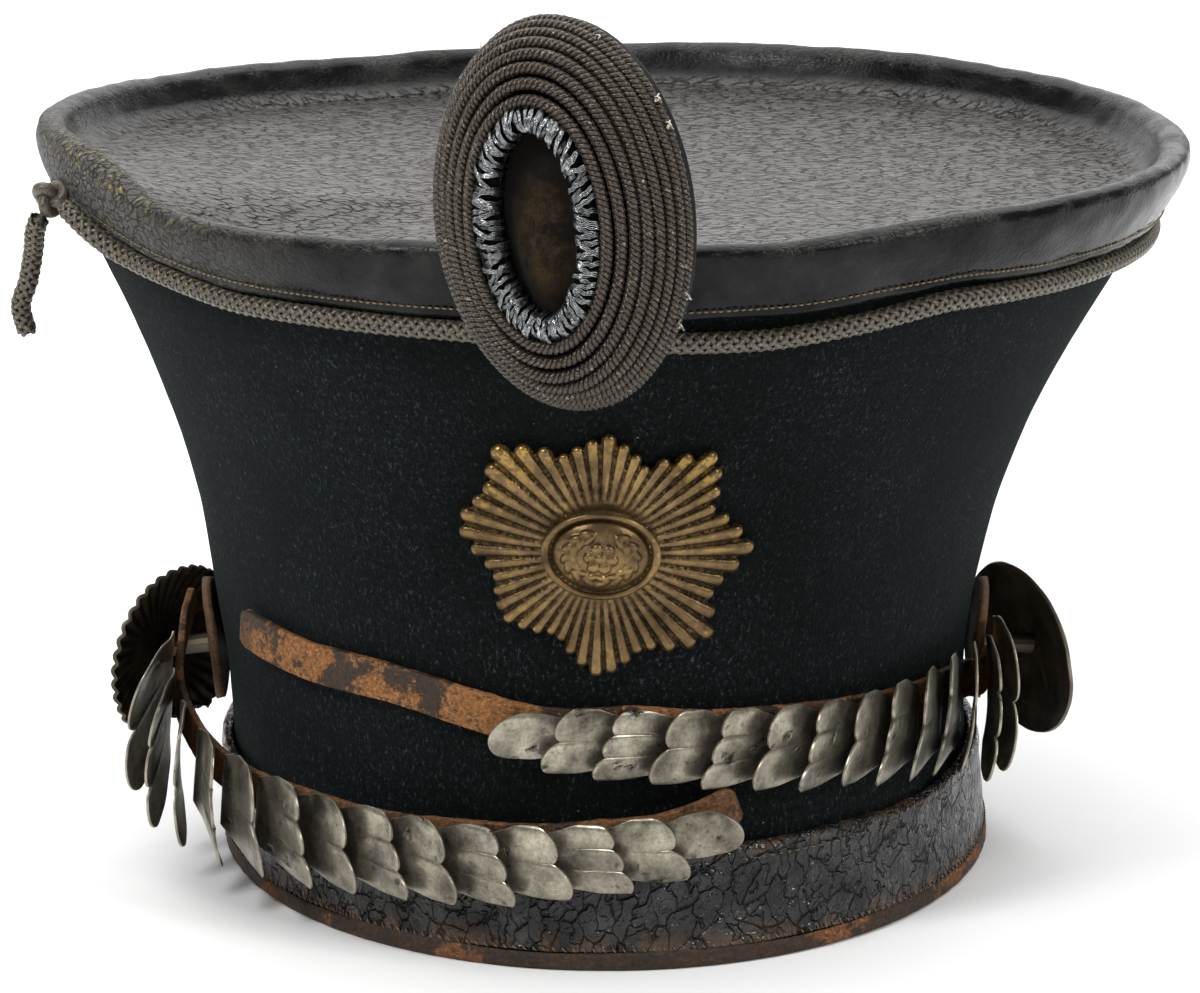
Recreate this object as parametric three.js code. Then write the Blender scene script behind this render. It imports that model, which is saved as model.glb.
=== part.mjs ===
// Shako: a tall cloth cap on an oval head band, with a leather crown, a corded cockade,
// a rayed badge and two unfastened halves of a scaled chin strap.
// Millimetres, +Z up. The front of the hat faces -Y and its right-hand side (+X) carries the
// longer strap half. Angles around the hat are degrees from the front, growing towards +X.
import * as THREE from "three";
import { mergeVertices } from "three/addons/utils/BufferGeometryUtils.js";

// ---- driving dimensions ----
const HEAD_HALF_WIDTH = 83.6;      // cloth at the bottom edge
const HEAD_HALF_LENGTH = 100.3;
const CLOTH_WALL = 3.0;
const GAP = 0.3;                   // clearance between neighbouring pieces
const SKIRT_OUT = 3.0;             // outer face of the crown leather above the cloth
const LEATHER = 2.7;
const RIM_ACROSS = 7.0;
const PLATE_DROP = 9.0;            // rim crest down to the top plate
const PLATE_CENTRE_Z = 149.5;
const BAND_LOW = 4.3;
const BAND_TOP = 25.0;
const BAND_OUT = 2.8;
const CORD_RADIUS = 2.25;
const STRAP_THICK = 1.8;
const STRAP_WIDTH = 8.5;
const STRAP_RISE_MOST = 3.6;       // how far the strap may run above the middle of its scales
const SCALE_THICK = 1.0;
const SCALE_COUNT = 14;
const SCALE_SLANT = 0.33;          // how far the lower side of a scale runs ahead, by its width
const BOSS_RADIUS = 20.0;
const BOSS_DISH = 5.0;
const BADGE_THICK = 1.6;
const ROUND = 60;                  // steps around the hat
const SHIFT = { x: -1.3, y: 16.5 };  // brings the whole hat over the origin

// Cloth outline by height: half width, half length, sideways lean of the oval's centre.
const CLOTH = [
  { z: 0, w: HEAD_HALF_WIDTH, l: HEAD_HALF_LENGTH, lean: 0.0 },
  { z: 25, w: 82.8, l: 99.0, lean: -1.5 },
  { z: 42, w: 82.8, l: 98.8, lean: -2.2 },
  { z: 60, w: 85.4, l: 99.6, lean: -2.6 },
  { z: 80, w: 88.9, l: 101.3, lean: -2.0 },
  { z: 100, w: 95.6, l: 105.8, lean: -1.0 },
  { z: 120, w: 104.5, l: 112.3, lean: 0.4 },
  { z: 135, w: 112.5, l: 117.6, lean: 1.4 },
  { z: 150, w: 120.0, l: 123.0, lean: 2.0 },
  { z: 157, w: 124.0, l: 126.6, lean: 2.0 },
  { z: 175, w: 125.0, l: 127.6, lean: 2.0 },
];
// Crown by angle: height of the rim crest and of the leather's lower edge.
const CROWN = [
  { a: -180, crest: 160.3, edge: 144.5 },
  { a: -150, crest: 159.4, edge: 144.5 },
  { a: -120, crest: 162.0, edge: 146.0 },
  { a: -95, crest: 165.0, edge: 149.0 },
  { a: -75, crest: 167.0, edge: 151.5 },
  { a: -64, crest: 167.0, edge: 151.3 },
  { a: -57, crest: 164.0, edge: 148.2 },
  { a: -51, crest: 159.0, edge: 145.8 },
  { a: -44, crest: 157.2, edge: 143.9 },
  { a: -34, crest: 157.5, edge: 143.0 },
  { a: -17, crest: 159.0, edge: 143.0 },
  { a: 8, crest: 159.4, edge: 143.0 },
  { a: 18, crest: 159.0, edge: 143.5 },
  { a: 26, crest: 161.0, edge: 145.3 },
  { a: 34, crest: 162.0, edge: 146.5 },
  { a: 46, crest: 161.3, edge: 145.3 },
  { a: 65, crest: 161.0, edge: 145.3 },
  { a: 80, crest: 160.4, edge: 144.2 },
  { a: 120, crest: 161.0, edge: 144.5 },
  { a: 150, crest: 161.0, edge: 144.5 },
  { a: 180, crest: 160.3, edge: 144.5 },
];
// Crown cord by angle: height and stand-off of its centre line, open at the knot.
const CORD = [
  { a: -65.5, z: 153.4, out: 6.0 },
  { a: -62.5, z: 150.6, out: 6.0 },
  { a: -60, z: 146.6, out: 5.0 },
  { a: -57, z: 144.6, out: 3.2 },
  { a: -52, z: 143.2, out: 2.7 },
  { a: -41, z: 140.6, out: 2.7 },
  { a: -17, z: 140.3, out: 2.7 },
  { a: 8, z: 138.1, out: 2.7 },
  { a: 16, z: 138.1, out: 2.7 },
  { a: 25, z: 140.2, out: 2.7 },
  { a: 34, z: 143.0, out: 2.7 },
  { a: 51, z: 142.3, out: 2.7 },
  { a: 78, z: 141.6, out: 2.7 },
  { a: 120, z: 141.6, out: 2.7 },
  { a: 180, z: 141.8, out: 2.7 },
  { a: 230, z: 142.6, out: 2.7 },
  { a: 262, z: 145.8, out: 2.7 },
  { a: 272, z: 146.2, out: 3.6 },
  { a: 278, z: 148.2, out: 6.0 },
  { a: 284, z: 151.6, out: 6.0 },
  { a: 289, z: 153.8, out: 6.0 },
];
// Strap routes from the boss to the free end.
const ROUTE_RIGHT = [
  { a: 84, z: 42.0, out: 5.0 },
  { a: 78, z: 40.0, out: 4.6 },
  { a: 70, z: 40.6, out: 3.2 },
  { a: 62, z: 41.8, out: 2.2 },
  { a: 53, z: 42.8, out: 1.7 },
  { a: 44, z: 44.0, out: 1.6 },
  { a: 34, z: 45.2, out: 1.6 },
  { a: 23, z: 46.8, out: 1.6 },
  { a: 14, z: 48.2, out: 1.6 },
  { a: 3, z: 50.0, out: 1.6 },
  { a: -5, z: 51.0, out: 1.6 },
  { a: -12, z: 52.4, out: 1.6 },
  { a: -18, z: 54.6, out: 1.6 },
  { a: -27, z: 57.8, out: 1.6 },
  { a: -35, z: 59.0, out: 1.8 },
  { a: -43, z: 59.6, out: 2.4 },
  { a: -51, z: 60.6, out: 3.2 },
  { a: -58, z: 61.6, out: 3.8 },
];
const ROUTE_LEFT = [
  { a: -87, z: 55.0, out: 6.0 },
  { a: -82, z: 48.0, out: 9.5 },
  { a: -77, z: 41.0, out: 12.5 },
  { a: -71, z: 35.0, out: 14.0 },
  { a: -63, z: 30.0, out: 14.0 },
  { a: -54, z: 26.5, out: 12.0 },
  { a: -43, z: 24.4, out: 8.6 },
  { a: -32, z: 23.8, out: 6.2 },
  { a: -24, z: 23.6, out: 5.2 },
  { a: -14, z: 24.2, out: 4.6 },
  { a: -4, z: 25.6, out: 4.4 },
  { a: 6, z: 27.6, out: 4.4 },
  { a: 14, z: 30.6, out: 4.2 },
  { a: 20, z: 34.0, out: 3.6 },
];
// Scales by number from the free end: width, length and how far the tip is lifted per mm.
const SCALES = [
  { n: 1, width: 10.0, length: 16.7, lift: 0.15 },
  { n: 2, width: 14.0, length: 16.0, lift: 0.15 },
  { n: 5, width: 16.5, length: 17.0, lift: 0.15 },
  { n: 8, width: 19.0, length: 18.5, lift: 0.17 },
  { n: 11, width: 24.5, length: 21.0, lift: 0.22 },
  { n: 14, width: 30.0, length: 24.0, lift: 0.30 },
];
// Badge: reach of the rays by direction, degrees from straight up towards +X. It has eight
// points, and a low place between each two.
const BADGE_RAYS = [
  { a: 0, reach: 26.8 }, { a: 23, reach: 21.2 },
  { a: 46, reach: 31.8 }, { a: 68, reach: 25.3 },
  { a: 90, reach: 33.0 }, { a: 110, reach: 26.2 },
  { a: 129, reach: 32.4 }, { a: 154, reach: 23.5 },
  { a: 178, reach: 27.8 }, { a: 206, reach: 20.2 },
  { a: 234, reach: 26.0 }, { a: 258, reach: 23.5 },
  { a: 281, reach: 32.0 }, { a: 298, reach: 28.7 },
  { a: 315, reach: 33.2 }, { a: 338, reach: 24.0 },
  { a: 360, reach: 26.8 },
];
const BADGE = { angle: 0.1, z: 91.0, lean: 0.0 };
const RAY_COUNT = 24;

// ---- small helpers ----
const rad = THREE.MathUtils.degToRad;

function look(table, key, value, column) {
  const first = table[0];
  const rising = table[table.length - 1][key] > first[key];
  for (let i = 1; i < table.length; i += 1) {
    const low = table[i - 1];
    const high = table[i];
    const inside = rising ? value <= high[key] : value >= high[key];
    if (inside || i === table.length - 1) {
      const t = (value - low[key]) / (high[key] - low[key]);
      return low[column] + (high[column] - low[column]) * Math.min(Math.max(t, 0), 1);
    }
  }
  return first[column];
}

// Smooth version of a table: the mean of the straight readings near the value.
function smooth(table, key, value, column, reach) {
  const parts = [-1, -0.5, 0, 0.5, 1];
  return parts.reduce((sum, p) => sum + look(table, key, value + p * reach, column), 0) / parts.length;
}

function wrap(angle) {
  return ((((angle + 180) % 360) + 360) % 360) - 180;
}

function crownAt(angle, column) {
  return smooth(CROWN, "a", wrap(angle), column, 3);
}

// A point at an angle and height, standing `out` millimetres off the cloth.
function hatPoint(angle, z, out) {
  const w = smooth(CLOTH, "z", z, "w", 6) + out;
  const l = smooth(CLOTH, "z", z, "l", 6) + out;
  const lean = smooth(CLOTH, "z", z, "lean", 6);
  return new THREE.Vector3(lean + w * Math.sin(rad(angle)), -l * Math.cos(rad(angle)), z);
}

function hatNormal(angle, z) {
  const w = look(CLOTH, "z", z, "w");
  const l = look(CLOTH, "z", z, "l");
  return new THREE.Vector3(Math.sin(rad(angle)) / w, -Math.cos(rad(angle)) / l, 0).normalize();
}

// Sets every vertex of a geometry from its own position, and keeps its faces pointing out.
function bend(geometry, place) {
  const position = geometry.attributes.position;
  const point = new THREE.Vector3();
  for (let i = 0; i < position.count; i += 1) {
    const to = place(point.fromBufferAttribute(position, i).clone(), i);
    position.setXYZ(i, to.x, to.y, to.z);
  }
  geometry.deleteAttribute("normal");
  geometry.deleteAttribute("uv");
  const merged = mergeVertices(geometry, 1e-4);
  if (volumeOf(merged) < 0) {
    const index = merged.index;
    for (let i = 0; i < index.count; i += 3) {
      const second = index.getX(i + 1);
      index.setX(i + 1, index.getX(i + 2));
      index.setX(i + 2, second);
    }
  }
  merged.computeVertexNormals();
  return merged;
}

function volumeOf(geometry) {
  const { index } = geometry;
  const { position } = geometry.attributes;
  const corner = (i) => new THREE.Vector3().fromBufferAttribute(position, index.getX(i));
  let sum = 0;
  for (let i = 0; i < index.count; i += 3) {
    sum += corner(i).dot(corner(i + 1).cross(corner(i + 2)));
  }
  return sum;
}

// Ring round the hat: a lathe with a closed section, whose section changes with the angle.
function ringSolid(sections) {
  const m = sections[0].length;
  const outline = Array.from({ length: m + 1 }, (_, j) => {
    const t = (2 * Math.PI * (j % m)) / m;
    return new THREE.Vector2(3 + Math.cos(t), Math.sin(t));
  });
  const lathe = new THREE.LatheGeometry(outline, sections.length);
  return bend(lathe, (_, i) => {
    const section = Math.floor(i / (m + 1)) % sections.length;
    return sections[section][(i % (m + 1)) % m];
  });
}

// Domed plate: a lathe that starts and ends on its axis, from its top rings to its under rings.
function plateSolid(topRings, topCentre, lowRings, lowCentre) {
  const rings = [...topRings, ...[...lowRings].reverse()];
  const m = topRings[0].length;
  const count = rings.length + 2;
  const outline = Array.from({ length: count }, (_, j) => {
    const t = (Math.PI * j) / (count - 1);
    return new THREE.Vector2(j === 0 || j === count - 1 ? 0 : Math.sin(t), Math.cos(t));
  });
  const lathe = new THREE.LatheGeometry(outline, m);
  return bend(lathe, (_, i) => {
    const j = i % count;
    if (j === 0) {
      return topCentre;
    }
    return j === count - 1 ? lowCentre : rings[j - 1][Math.floor(i / count) % m];
  });
}

// Round tube with flat ends along an open path.
function tube(path, radius, sides, steps) {
  const section = new THREE.Shape(Array.from({ length: sides }, (_, k) => {
    const t = (2 * Math.PI * k) / sides;
    return new THREE.Vector2(radius * Math.cos(t), radius * Math.sin(t));
  }));
  const curve = new THREE.CatmullRomCurve3(path);
  return new THREE.ExtrudeGeometry(section, { steps, extrudePath: curve, bevelEnabled: false });
}

function post(from, to, radius) {
  const along = new THREE.Vector3().subVectors(to, from);
  const geometry = new THREE.CylinderGeometry(radius, radius, along.length(), 12);
  const turn = new THREE.Quaternion();
  turn.setFromUnitVectors(new THREE.Vector3(0, 1, 0), along.clone().normalize());
  geometry.applyQuaternion(turn);
  const middle = from.clone().add(to).multiplyScalar(0.5);
  geometry.translate(middle.x, middle.y, middle.z);
  return geometry;
}

const hat = new THREE.Group();
hat.name = "shako";
const COLOURS = {
  cloth: "#1c2020",
  crown_leather: "#4a4743",
  band_leather: "#2c2b2a",
  binding_leather: "#4a3d30",
  cord: "#4a4436",
  velvet: "#2a1f12",
  bullion: "#4b4b47",
  brass: "#7a6440",
  scale_metal: "#7a7466",
  strap_leather: "#55402f",
  post_metal: "#4a463e",
};

function add(name, geometry, slot, roughness = 0.8, metalness = 0) {
  const material = new THREE.MeshStandardMaterial({ color: COLOURS[slot], roughness, metalness });
  material.name = slot;
  geometry.translate(SHIFT.x, SHIFT.y, 0);
  const mesh = new THREE.Mesh(geometry, material);
  mesh.name = name;
  hat.add(mesh);
}

function ringOfSections(profileAt) {
  return ringSolid(Array.from({ length: ROUND }, (_, i) => {
    const angle = (360 * i) / ROUND;
    return profileAt(angle).map(([out, z]) => hatPoint(angle, z, out));
  }));
}

// ---- cloth body, band and bottom binding ----
add("body_cloth", ringOfSections((angle) => {
  const crest = crownAt(angle, "crest");
  const low = crownAt(angle, "edge");
  const heights = [1.8, 25, 44, 62, 80, 98, 116, 132, low, crest - 11.4, crest - 7];
  const outer = heights.map((z) => [0, z]);
  const inner = [...heights].reverse().map((z) => [-CLOTH_WALL, z]);
  return [...outer, ...inner];
}), "cloth", 0.95);

add("head_band", ringOfSections(() => [
  [GAP, BAND_LOW],
  [BAND_OUT, BAND_LOW],
  [BAND_OUT, BAND_TOP - 0.6],
  [BAND_OUT - 0.6, BAND_TOP],
  [GAP, BAND_TOP],
]), "band_leather", 0.45);

const bindingIn = -CLOTH_WALL - GAP;
add("edge_binding", ringOfSections(() => [
  [bindingIn - 1.2, 0.5],
  [bindingIn - 0.7, 0],
  [BAND_OUT - 0.5, 0],
  [BAND_OUT + 0.2, 0.7],
  [BAND_OUT + 0.2, 3.8],
  [GAP, 3.8],
  [GAP, 1.5],
  [bindingIn, 1.5],
  [bindingIn, 9],
  [bindingIn - 1.2, 9],
]), "binding_leather", 0.7);

// ---- leather crown: skirt, rounded rim and sunk top plate in one piece ----
function platePoint(angle, share, under) {
  const rimZ = crownAt(angle, "crest") - PLATE_DROP;
  const edge = hatPoint(angle, 158, -11);
  const z = PLATE_CENTRE_Z + (rimZ - PLATE_CENTRE_Z) * share * share - under;
  return new THREE.Vector3(2 + (edge.x - 2) * share, edge.y * share, z);
}
const crownAngles = Array.from({ length: ROUND }, (_, i) => (360 * i) / ROUND);
const plateShares = [1, 0.86, 0.62, 0.34];
const topSide = (crest) => [
  [SKIRT_OUT, crest - 3.4],
  [SKIRT_OUT - 0.9, crest - 1.2],
  [SKIRT_OUT - RIM_ACROSS / 2, crest],
  [SKIRT_OUT - RIM_ACROSS + 0.9, crest - 1.2],
  [SKIRT_OUT - RIM_ACROSS, crest - 3.6],
  [SKIRT_OUT - RIM_ACROSS - 1.2, crest - 6.6],
  [SKIRT_OUT - RIM_ACROSS - 3.4, crest - 8.4],
];
const crownLoops = crownAngles.map((angle) => {
  const crest = crownAt(angle, "crest");
  const low = crownAt(angle, "edge");
  const inTop = crest - 6.6;
  const skirt = [
    [GAP, crest - 11.4],
    [GAP, low],
    [SKIRT_OUT - 0.5, low],
    [SKIRT_OUT, low + 0.7],
  ];
  return {
    outer: [[GAP, inTop], ...skirt, ...topSide(crest)].map(([o, z]) => hatPoint(angle, z, o)),
    plate: plateShares.map((s) => platePoint(angle, s, 0)),
    under: [...plateShares].reverse().map((s) => platePoint(angle, s, LEATHER)),
    inner: [[-CLOTH_WALL - GAP, crest - 11.4], [-CLOTH_WALL - GAP, inTop]]
      .map(([o, z]) => hatPoint(angle, z, o)),
  };
});
const crownTop = [];
const crownLow = [];
const outerCount = crownLoops[0].outer.length;
for (let k = plateShares.length - 1; k >= 0; k -= 1) {
  crownTop.push(crownLoops.map((loop) => loop.plate[k]));
}
for (let k = outerCount - 1; k >= 0; k -= 1) {
  crownTop.push(crownLoops.map((loop) => loop.outer[k]));
}
for (let k = 0; k < plateShares.length; k += 1) {
  crownLow.push(crownLoops.map((loop) => loop.under[k]));
}
for (let k = 0; k < 2; k += 1) {
  crownLow.push(crownLoops.map((loop) => loop.inner[k]));
}
add("crown_leather", plateSolid(
  crownTop,
  new THREE.Vector3(2, 0, PLATE_CENTRE_Z),
  crownLow,
  new THREE.Vector3(2, 0, PLATE_CENTRE_Z - LEATHER),
), "crown_leather", 0.5);

// ---- crown cord, its knot and the hanging end ----
const cordPath = [];
for (let angle = -65.5; angle <= 289.5; angle += 4.4) {
  cordPath.push(hatPoint(
    angle,
    smooth(CORD, "a", angle, "z", 2),
    smooth(CORD, "a", angle, "out", 1),
  ));
}
add("crown_cord", tube(cordPath, CORD_RADIUS, 8, 64), "cord", 0.85);

const knotCentre = hatPoint(-68.2, 154.4, 6.9);
const knot = new THREE.SphereGeometry(3.6, 12, 8);
knot.scale(0.9, 0.75, 1.15);
knot.translate(knotCentre.x, knotCentre.y, knotCentre.z);
add("cord_knot", knot, "cord", 0.85);

const endPath = [
  new THREE.Vector3(-120.4, -51.2, 150.0),
  new THREE.Vector3(-121.6, -48.6, 146.8),
  new THREE.Vector3(-122.4, -44.5, 142.5),
  new THREE.Vector3(-124.0, -42.0, 135.0),
  new THREE.Vector3(-126.0, -40.0, 129.0),
  new THREE.Vector3(-125.0, -38.3, 123.0),
];
add("cord_end", tube(endPath, 2.2, 8, 12), "cord", 0.85);

// ---- cockade: oval, turned to the left and leaning a little ----
const COCKADE = { x: -6.5, y: -139.0, z: 168.7, yaw: -24, roll: 6 };
const cockadeFrame = new THREE.Matrix4();
{
  const facing = new THREE.Vector3(Math.sin(rad(COCKADE.yaw)), -Math.cos(rad(COCKADE.yaw)), 0);
  const side = new THREE.Vector3(Math.cos(rad(COCKADE.yaw)), Math.sin(rad(COCKADE.yaw)), 0);
  const up = new THREE.Vector3(0, 0, 1).applyAxisAngle(facing, rad(COCKADE.roll));
  side.crossVectors(facing, up).multiplyScalar(-1);
  cockadeFrame.makeBasis(side, up, facing);
  cockadeFrame.setPosition(COCKADE.x, COCKADE.y, COCKADE.z);
}
function ovalRing(halfWidth, halfHeight, depth, steps) {
  return Array.from({ length: steps }, (_, i) => {
    const t = (2 * Math.PI * i) / steps;
    const p = new THREE.Vector3(halfWidth * Math.cos(t), halfHeight * Math.sin(t), depth);
    return p.applyMatrix4(cockadeFrame);
  });
}
function cockadePoint(depth) {
  return new THREE.Vector3(0, 0, depth).applyMatrix4(cockadeFrame);
}
const OVAL = 32;
add("cockade_back", plateSolid(
  [ovalRing(14, 22, 3, OVAL), ovalRing(25, 37, 3, OVAL), ovalRing(26, 38, 2, OVAL)],
  cockadePoint(3),
  [ovalRing(14, 22, 0, OVAL), ovalRing(26, 38, 0, OVAL)],
  cockadePoint(0),
), "velvet", 0.9);

// The dome's profile: how far each row stands in from the outer edge, and its depth.
const DOME = [
  { inset: 0, depth: 4.0 },
  { inset: 0.2, depth: 6.1 },
  { inset: 1.2, depth: 8.7 },
  { inset: 3.9, depth: 13.5 },
  { inset: 6.0, depth: 15.2 },
  { inset: 8.5, depth: 16.5 },
  { inset: 13.2, depth: 18.6 },
];
const COIL = { outW: 27.1, outH: 39.4, underside: 3.4 };
const coilSections = Array.from({ length: OVAL }, (_, i) => {
  const t = (2 * Math.PI * i) / OVAL;
  const at = (inset, depth) => new THREE.Vector3(
    (COIL.outW - inset) * Math.cos(t),
    (COIL.outH - inset * 1.2) * Math.sin(t),
    depth,
  ).applyMatrix4(cockadeFrame);
  const inner = DOME[DOME.length - 1].inset;
  return [at(inner, COIL.underside), at(0, COIL.underside), ...DOME.map((row) => at(row.inset, row.depth))];
});
add("cockade_coil", ringSolid(coilSections), "cord", 0.85);

const BULLION_DEPTH = 11.2;
const BULLION_HALF = 7.6;
const bullionSections = Array.from({ length: OVAL }, (_, i) => {
  const t = (2 * Math.PI * i) / OVAL;
  const loop = [];
  for (let k = 0; k < 8; k += 1) {
    const s = (2 * Math.PI * k) / 8;
    const across = 2.55 * Math.cos(s);
    loop.push(new THREE.Vector3(
      (10.9 + across) * Math.cos(t),
      (20.4 + across) * Math.sin(t),
      BULLION_DEPTH + BULLION_HALF * Math.sin(s),
    ).applyMatrix4(cockadeFrame));
  }
  return loop;
});
add("cockade_bullion", ringSolid(bullionSections), "bullion", 0.6, 0.4);

add("cockade_velvet", plateSolid(
  [ovalRing(3.5, 8, 14.4, OVAL), ovalRing(6.4, 14.5, 13.6, OVAL), ovalRing(7.9, 17.4, 12.0, OVAL)],
  cockadePoint(14.7),
  [ovalRing(3.5, 8, 3.4, OVAL), ovalRing(7.9, 17.4, 3.4, OVAL)],
  cockadePoint(3.4),
), "velvet", 0.95);

const stemFoot = new THREE.Vector3(2, -13, -GAP).applyMatrix4(cockadeFrame);
const stemHead = new THREE.Vector3(2, -13, -6.2).applyMatrix4(cockadeFrame);
add("cockade_stem", post(stemHead, stemFoot, 3), "post_metal", 0.5, 0.6);

// ---- rayed badge bent round the front of the cloth ----
function badgePoint(x, up, out) {
  const z = BADGE.z + up;
  const lengthHere = look(CLOTH, "z", z, "l");
  return hatPoint(BADGE.angle + (x / lengthHere) * (180 / Math.PI) * 1.07, z, out);
}
function badgeRing(share, out, fluted) {
  return Array.from({ length: RAY_COUNT * 2 }, (_, i) => {
    const direction = (360 * i) / (RAY_COUNT * 2);
    const tip = i % 2 === 0 ? 1 : 0.94;
    const reach = look(BADGE_RAYS, "a", direction, "reach") * tip * share;
    const ridge = fluted && i % 2 === 0 ? 0.5 : 0;
    const x = reach * Math.sin(rad(direction));
    return badgePoint(x, reach * Math.cos(rad(direction)), out + ridge);
  });
}
const starOut = 0.7;
const starShares = [0.25, 0.5, 0.75, 1];
const starTop = (share) => starOut + BADGE_THICK + 0.5 - 1.2 * share * share;
add("badge_star", plateSolid(
  starShares.map((share) => badgeRing(share, starTop(share), share > 0.3)),
  badgePoint(0, 0, starTop(0)),
  starShares.map((share) => badgeRing(share, starOut, false)),
  badgePoint(0, 0, starOut),
), "brass", 0.45, 0.8);

function bossRing(halfWidth, halfHeight, out) {
  return Array.from({ length: 28 }, (_, i) => {
    const t = (2 * Math.PI * i) / 28;
    const tilt = rad(-8);
    const x = halfWidth * Math.cos(t);
    const y = halfHeight * Math.sin(t);
    return badgePoint(x * Math.cos(tilt) - y * Math.sin(tilt), x * Math.sin(tilt) + y * Math.cos(tilt), out);
  });
}
const medalOut = starTop(0) + 0.5 + GAP;
add("badge_boss", plateSolid(
  [
    bossRing(5, 4, medalOut + 4.4), bossRing(9, 7, medalOut + 3.4),
    bossRing(10.4, 8.2, medalOut + 2.4), bossRing(11.6, 9.2, medalOut + 2.6),
    bossRing(12.6, 10.0, medalOut + 1.2),
  ],
  badgePoint(0, 0, medalOut + 4.8),
  [bossRing(5, 4, medalOut), bossRing(12.6, 10.0, medalOut)],
  badgePoint(0, 0, medalOut),
), "brass", 0.45, 0.8);

// ---- chin strap halves ----
function routeCurve(route) {
  const points = route.map((row) => hatPoint(row.a, row.z, row.out));
  return new THREE.CatmullRomCurve3(points, false, "centripetal");
}
function routeFrame(route, curve, share) {
  const at = curve.getPointAt(share);
  const along = curve.getTangentAt(share).normalize();
  const angle = Math.atan2(at.x - look(CLOTH, "z", at.z, "lean"), -at.y * 0.86) * (180 / Math.PI);
  const out = hatNormal(angle, at.z);
  out.addScaledVector(along, -out.dot(along)).normalize();
  const across = new THREE.Vector3().crossVectors(out, along).normalize();
  return { at, along, out, across };
}
// The strap lies along the upper edge of its scales, and comes back to their middle at both ends.
function strapRise(half, distance) {
  const number = SCALE_COUNT - (distance - half.start) / half.pitch;
  const width = look(SCALES, "n", Math.min(Math.max(number, 1), SCALE_COUNT), "width");
  const ramp = Math.min(distance / 25, (half.level - distance) / 18, 1);
  return Math.min(0.36 * width - 2.2, STRAP_RISE_MOST) * Math.max(ramp, 0);
}
function strapSolid(half, curve) {
  const blank = new THREE.BoxGeometry(STRAP_WIDTH, STRAP_THICK, 1, 1, 1, 44);
  const total = curve.getLength();
  return bend(blank, (p) => {
    const f = routeFrame(half.route, curve, p.z + 0.5);
    const across = p.x - half.low * strapRise(half, (p.z + 0.5) * total);
    return f.at.addScaledVector(f.across, across).addScaledVector(f.out, p.y);
  });
}

// One scale: a plate with one, two or three rounded lobes at its lifted end.
function scaleSolid(number, frame, low) {
  const width = look(SCALES, "n", number, "width");
  const length = look(SCALES, "n", number, "length");
  const lift = look(SCALES, "n", number, "lift");
  const lobes = number === 1 ? 1 : 2 + (number % 2);
  const radius = width / (2 * lobes);
  const blank = new THREE.BoxGeometry(width, SCALE_THICK, 1, 6, 1, 2);
  return bend(blank, (p) => {
    const lobe = Math.min(Math.floor((p.x / width + 0.5) * lobes), lobes - 1);
    const offset = p.x + width / 2 - radius * (2 * lobe + 1);
    const bulge = Math.sqrt(Math.max(radius * radius - offset * offset, 0));
    const s = (p.z + 0.5) * (length - radius * 0.9 + bulge * 0.9);
    const across = p.x * (0.72 + 0.28 * Math.min(s / (0.6 * length), 1));
    const slant = SCALE_SLANT * low * across * Math.min(s / (0.6 * length), 1);
    const sag = ((across * across) / 110) * Math.min(s / 4, 1);
    const height = (STRAP_THICK + SCALE_THICK) / 2 + GAP + p.y + s * lift - sag;
    return frame.at.clone()
      .addScaledVector(frame.along, s + slant)
      .addScaledVector(frame.across, across)
      .addScaledVector(frame.out, height);
  });
}

// Each half: its first scale's distance from the boss, the scales' pitch, the way across that
// points down, and the distance at which the bare strap is level with its scales again.
const HALVES = [
  { side: "right", route: ROUTE_RIGHT, start: 0.3, pitch: 10.9, low: 1, level: 178 },
  { side: "left", route: ROUTE_LEFT, start: 19.0, pitch: 11.8, low: -1, level: 240 },
];
for (const half of HALVES) {
  const curve = routeCurve(half.route);
  const total = curve.getLength();
  add(`strap_${half.side}`, strapSolid(half, curve), "strap_leather", 0.75);
  for (let number = SCALE_COUNT; number >= 1; number -= 1) {
    const distance = half.start + (SCALE_COUNT - number) * half.pitch;
    const frame = routeFrame(half.route, curve, distance / total);
    const label = String(number).padStart(2, "0");
    add(`scale_${half.side}_${label}`, scaleSolid(number, frame, half.low), "scale_metal", 0.4, 0.8);
  }
}

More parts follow.
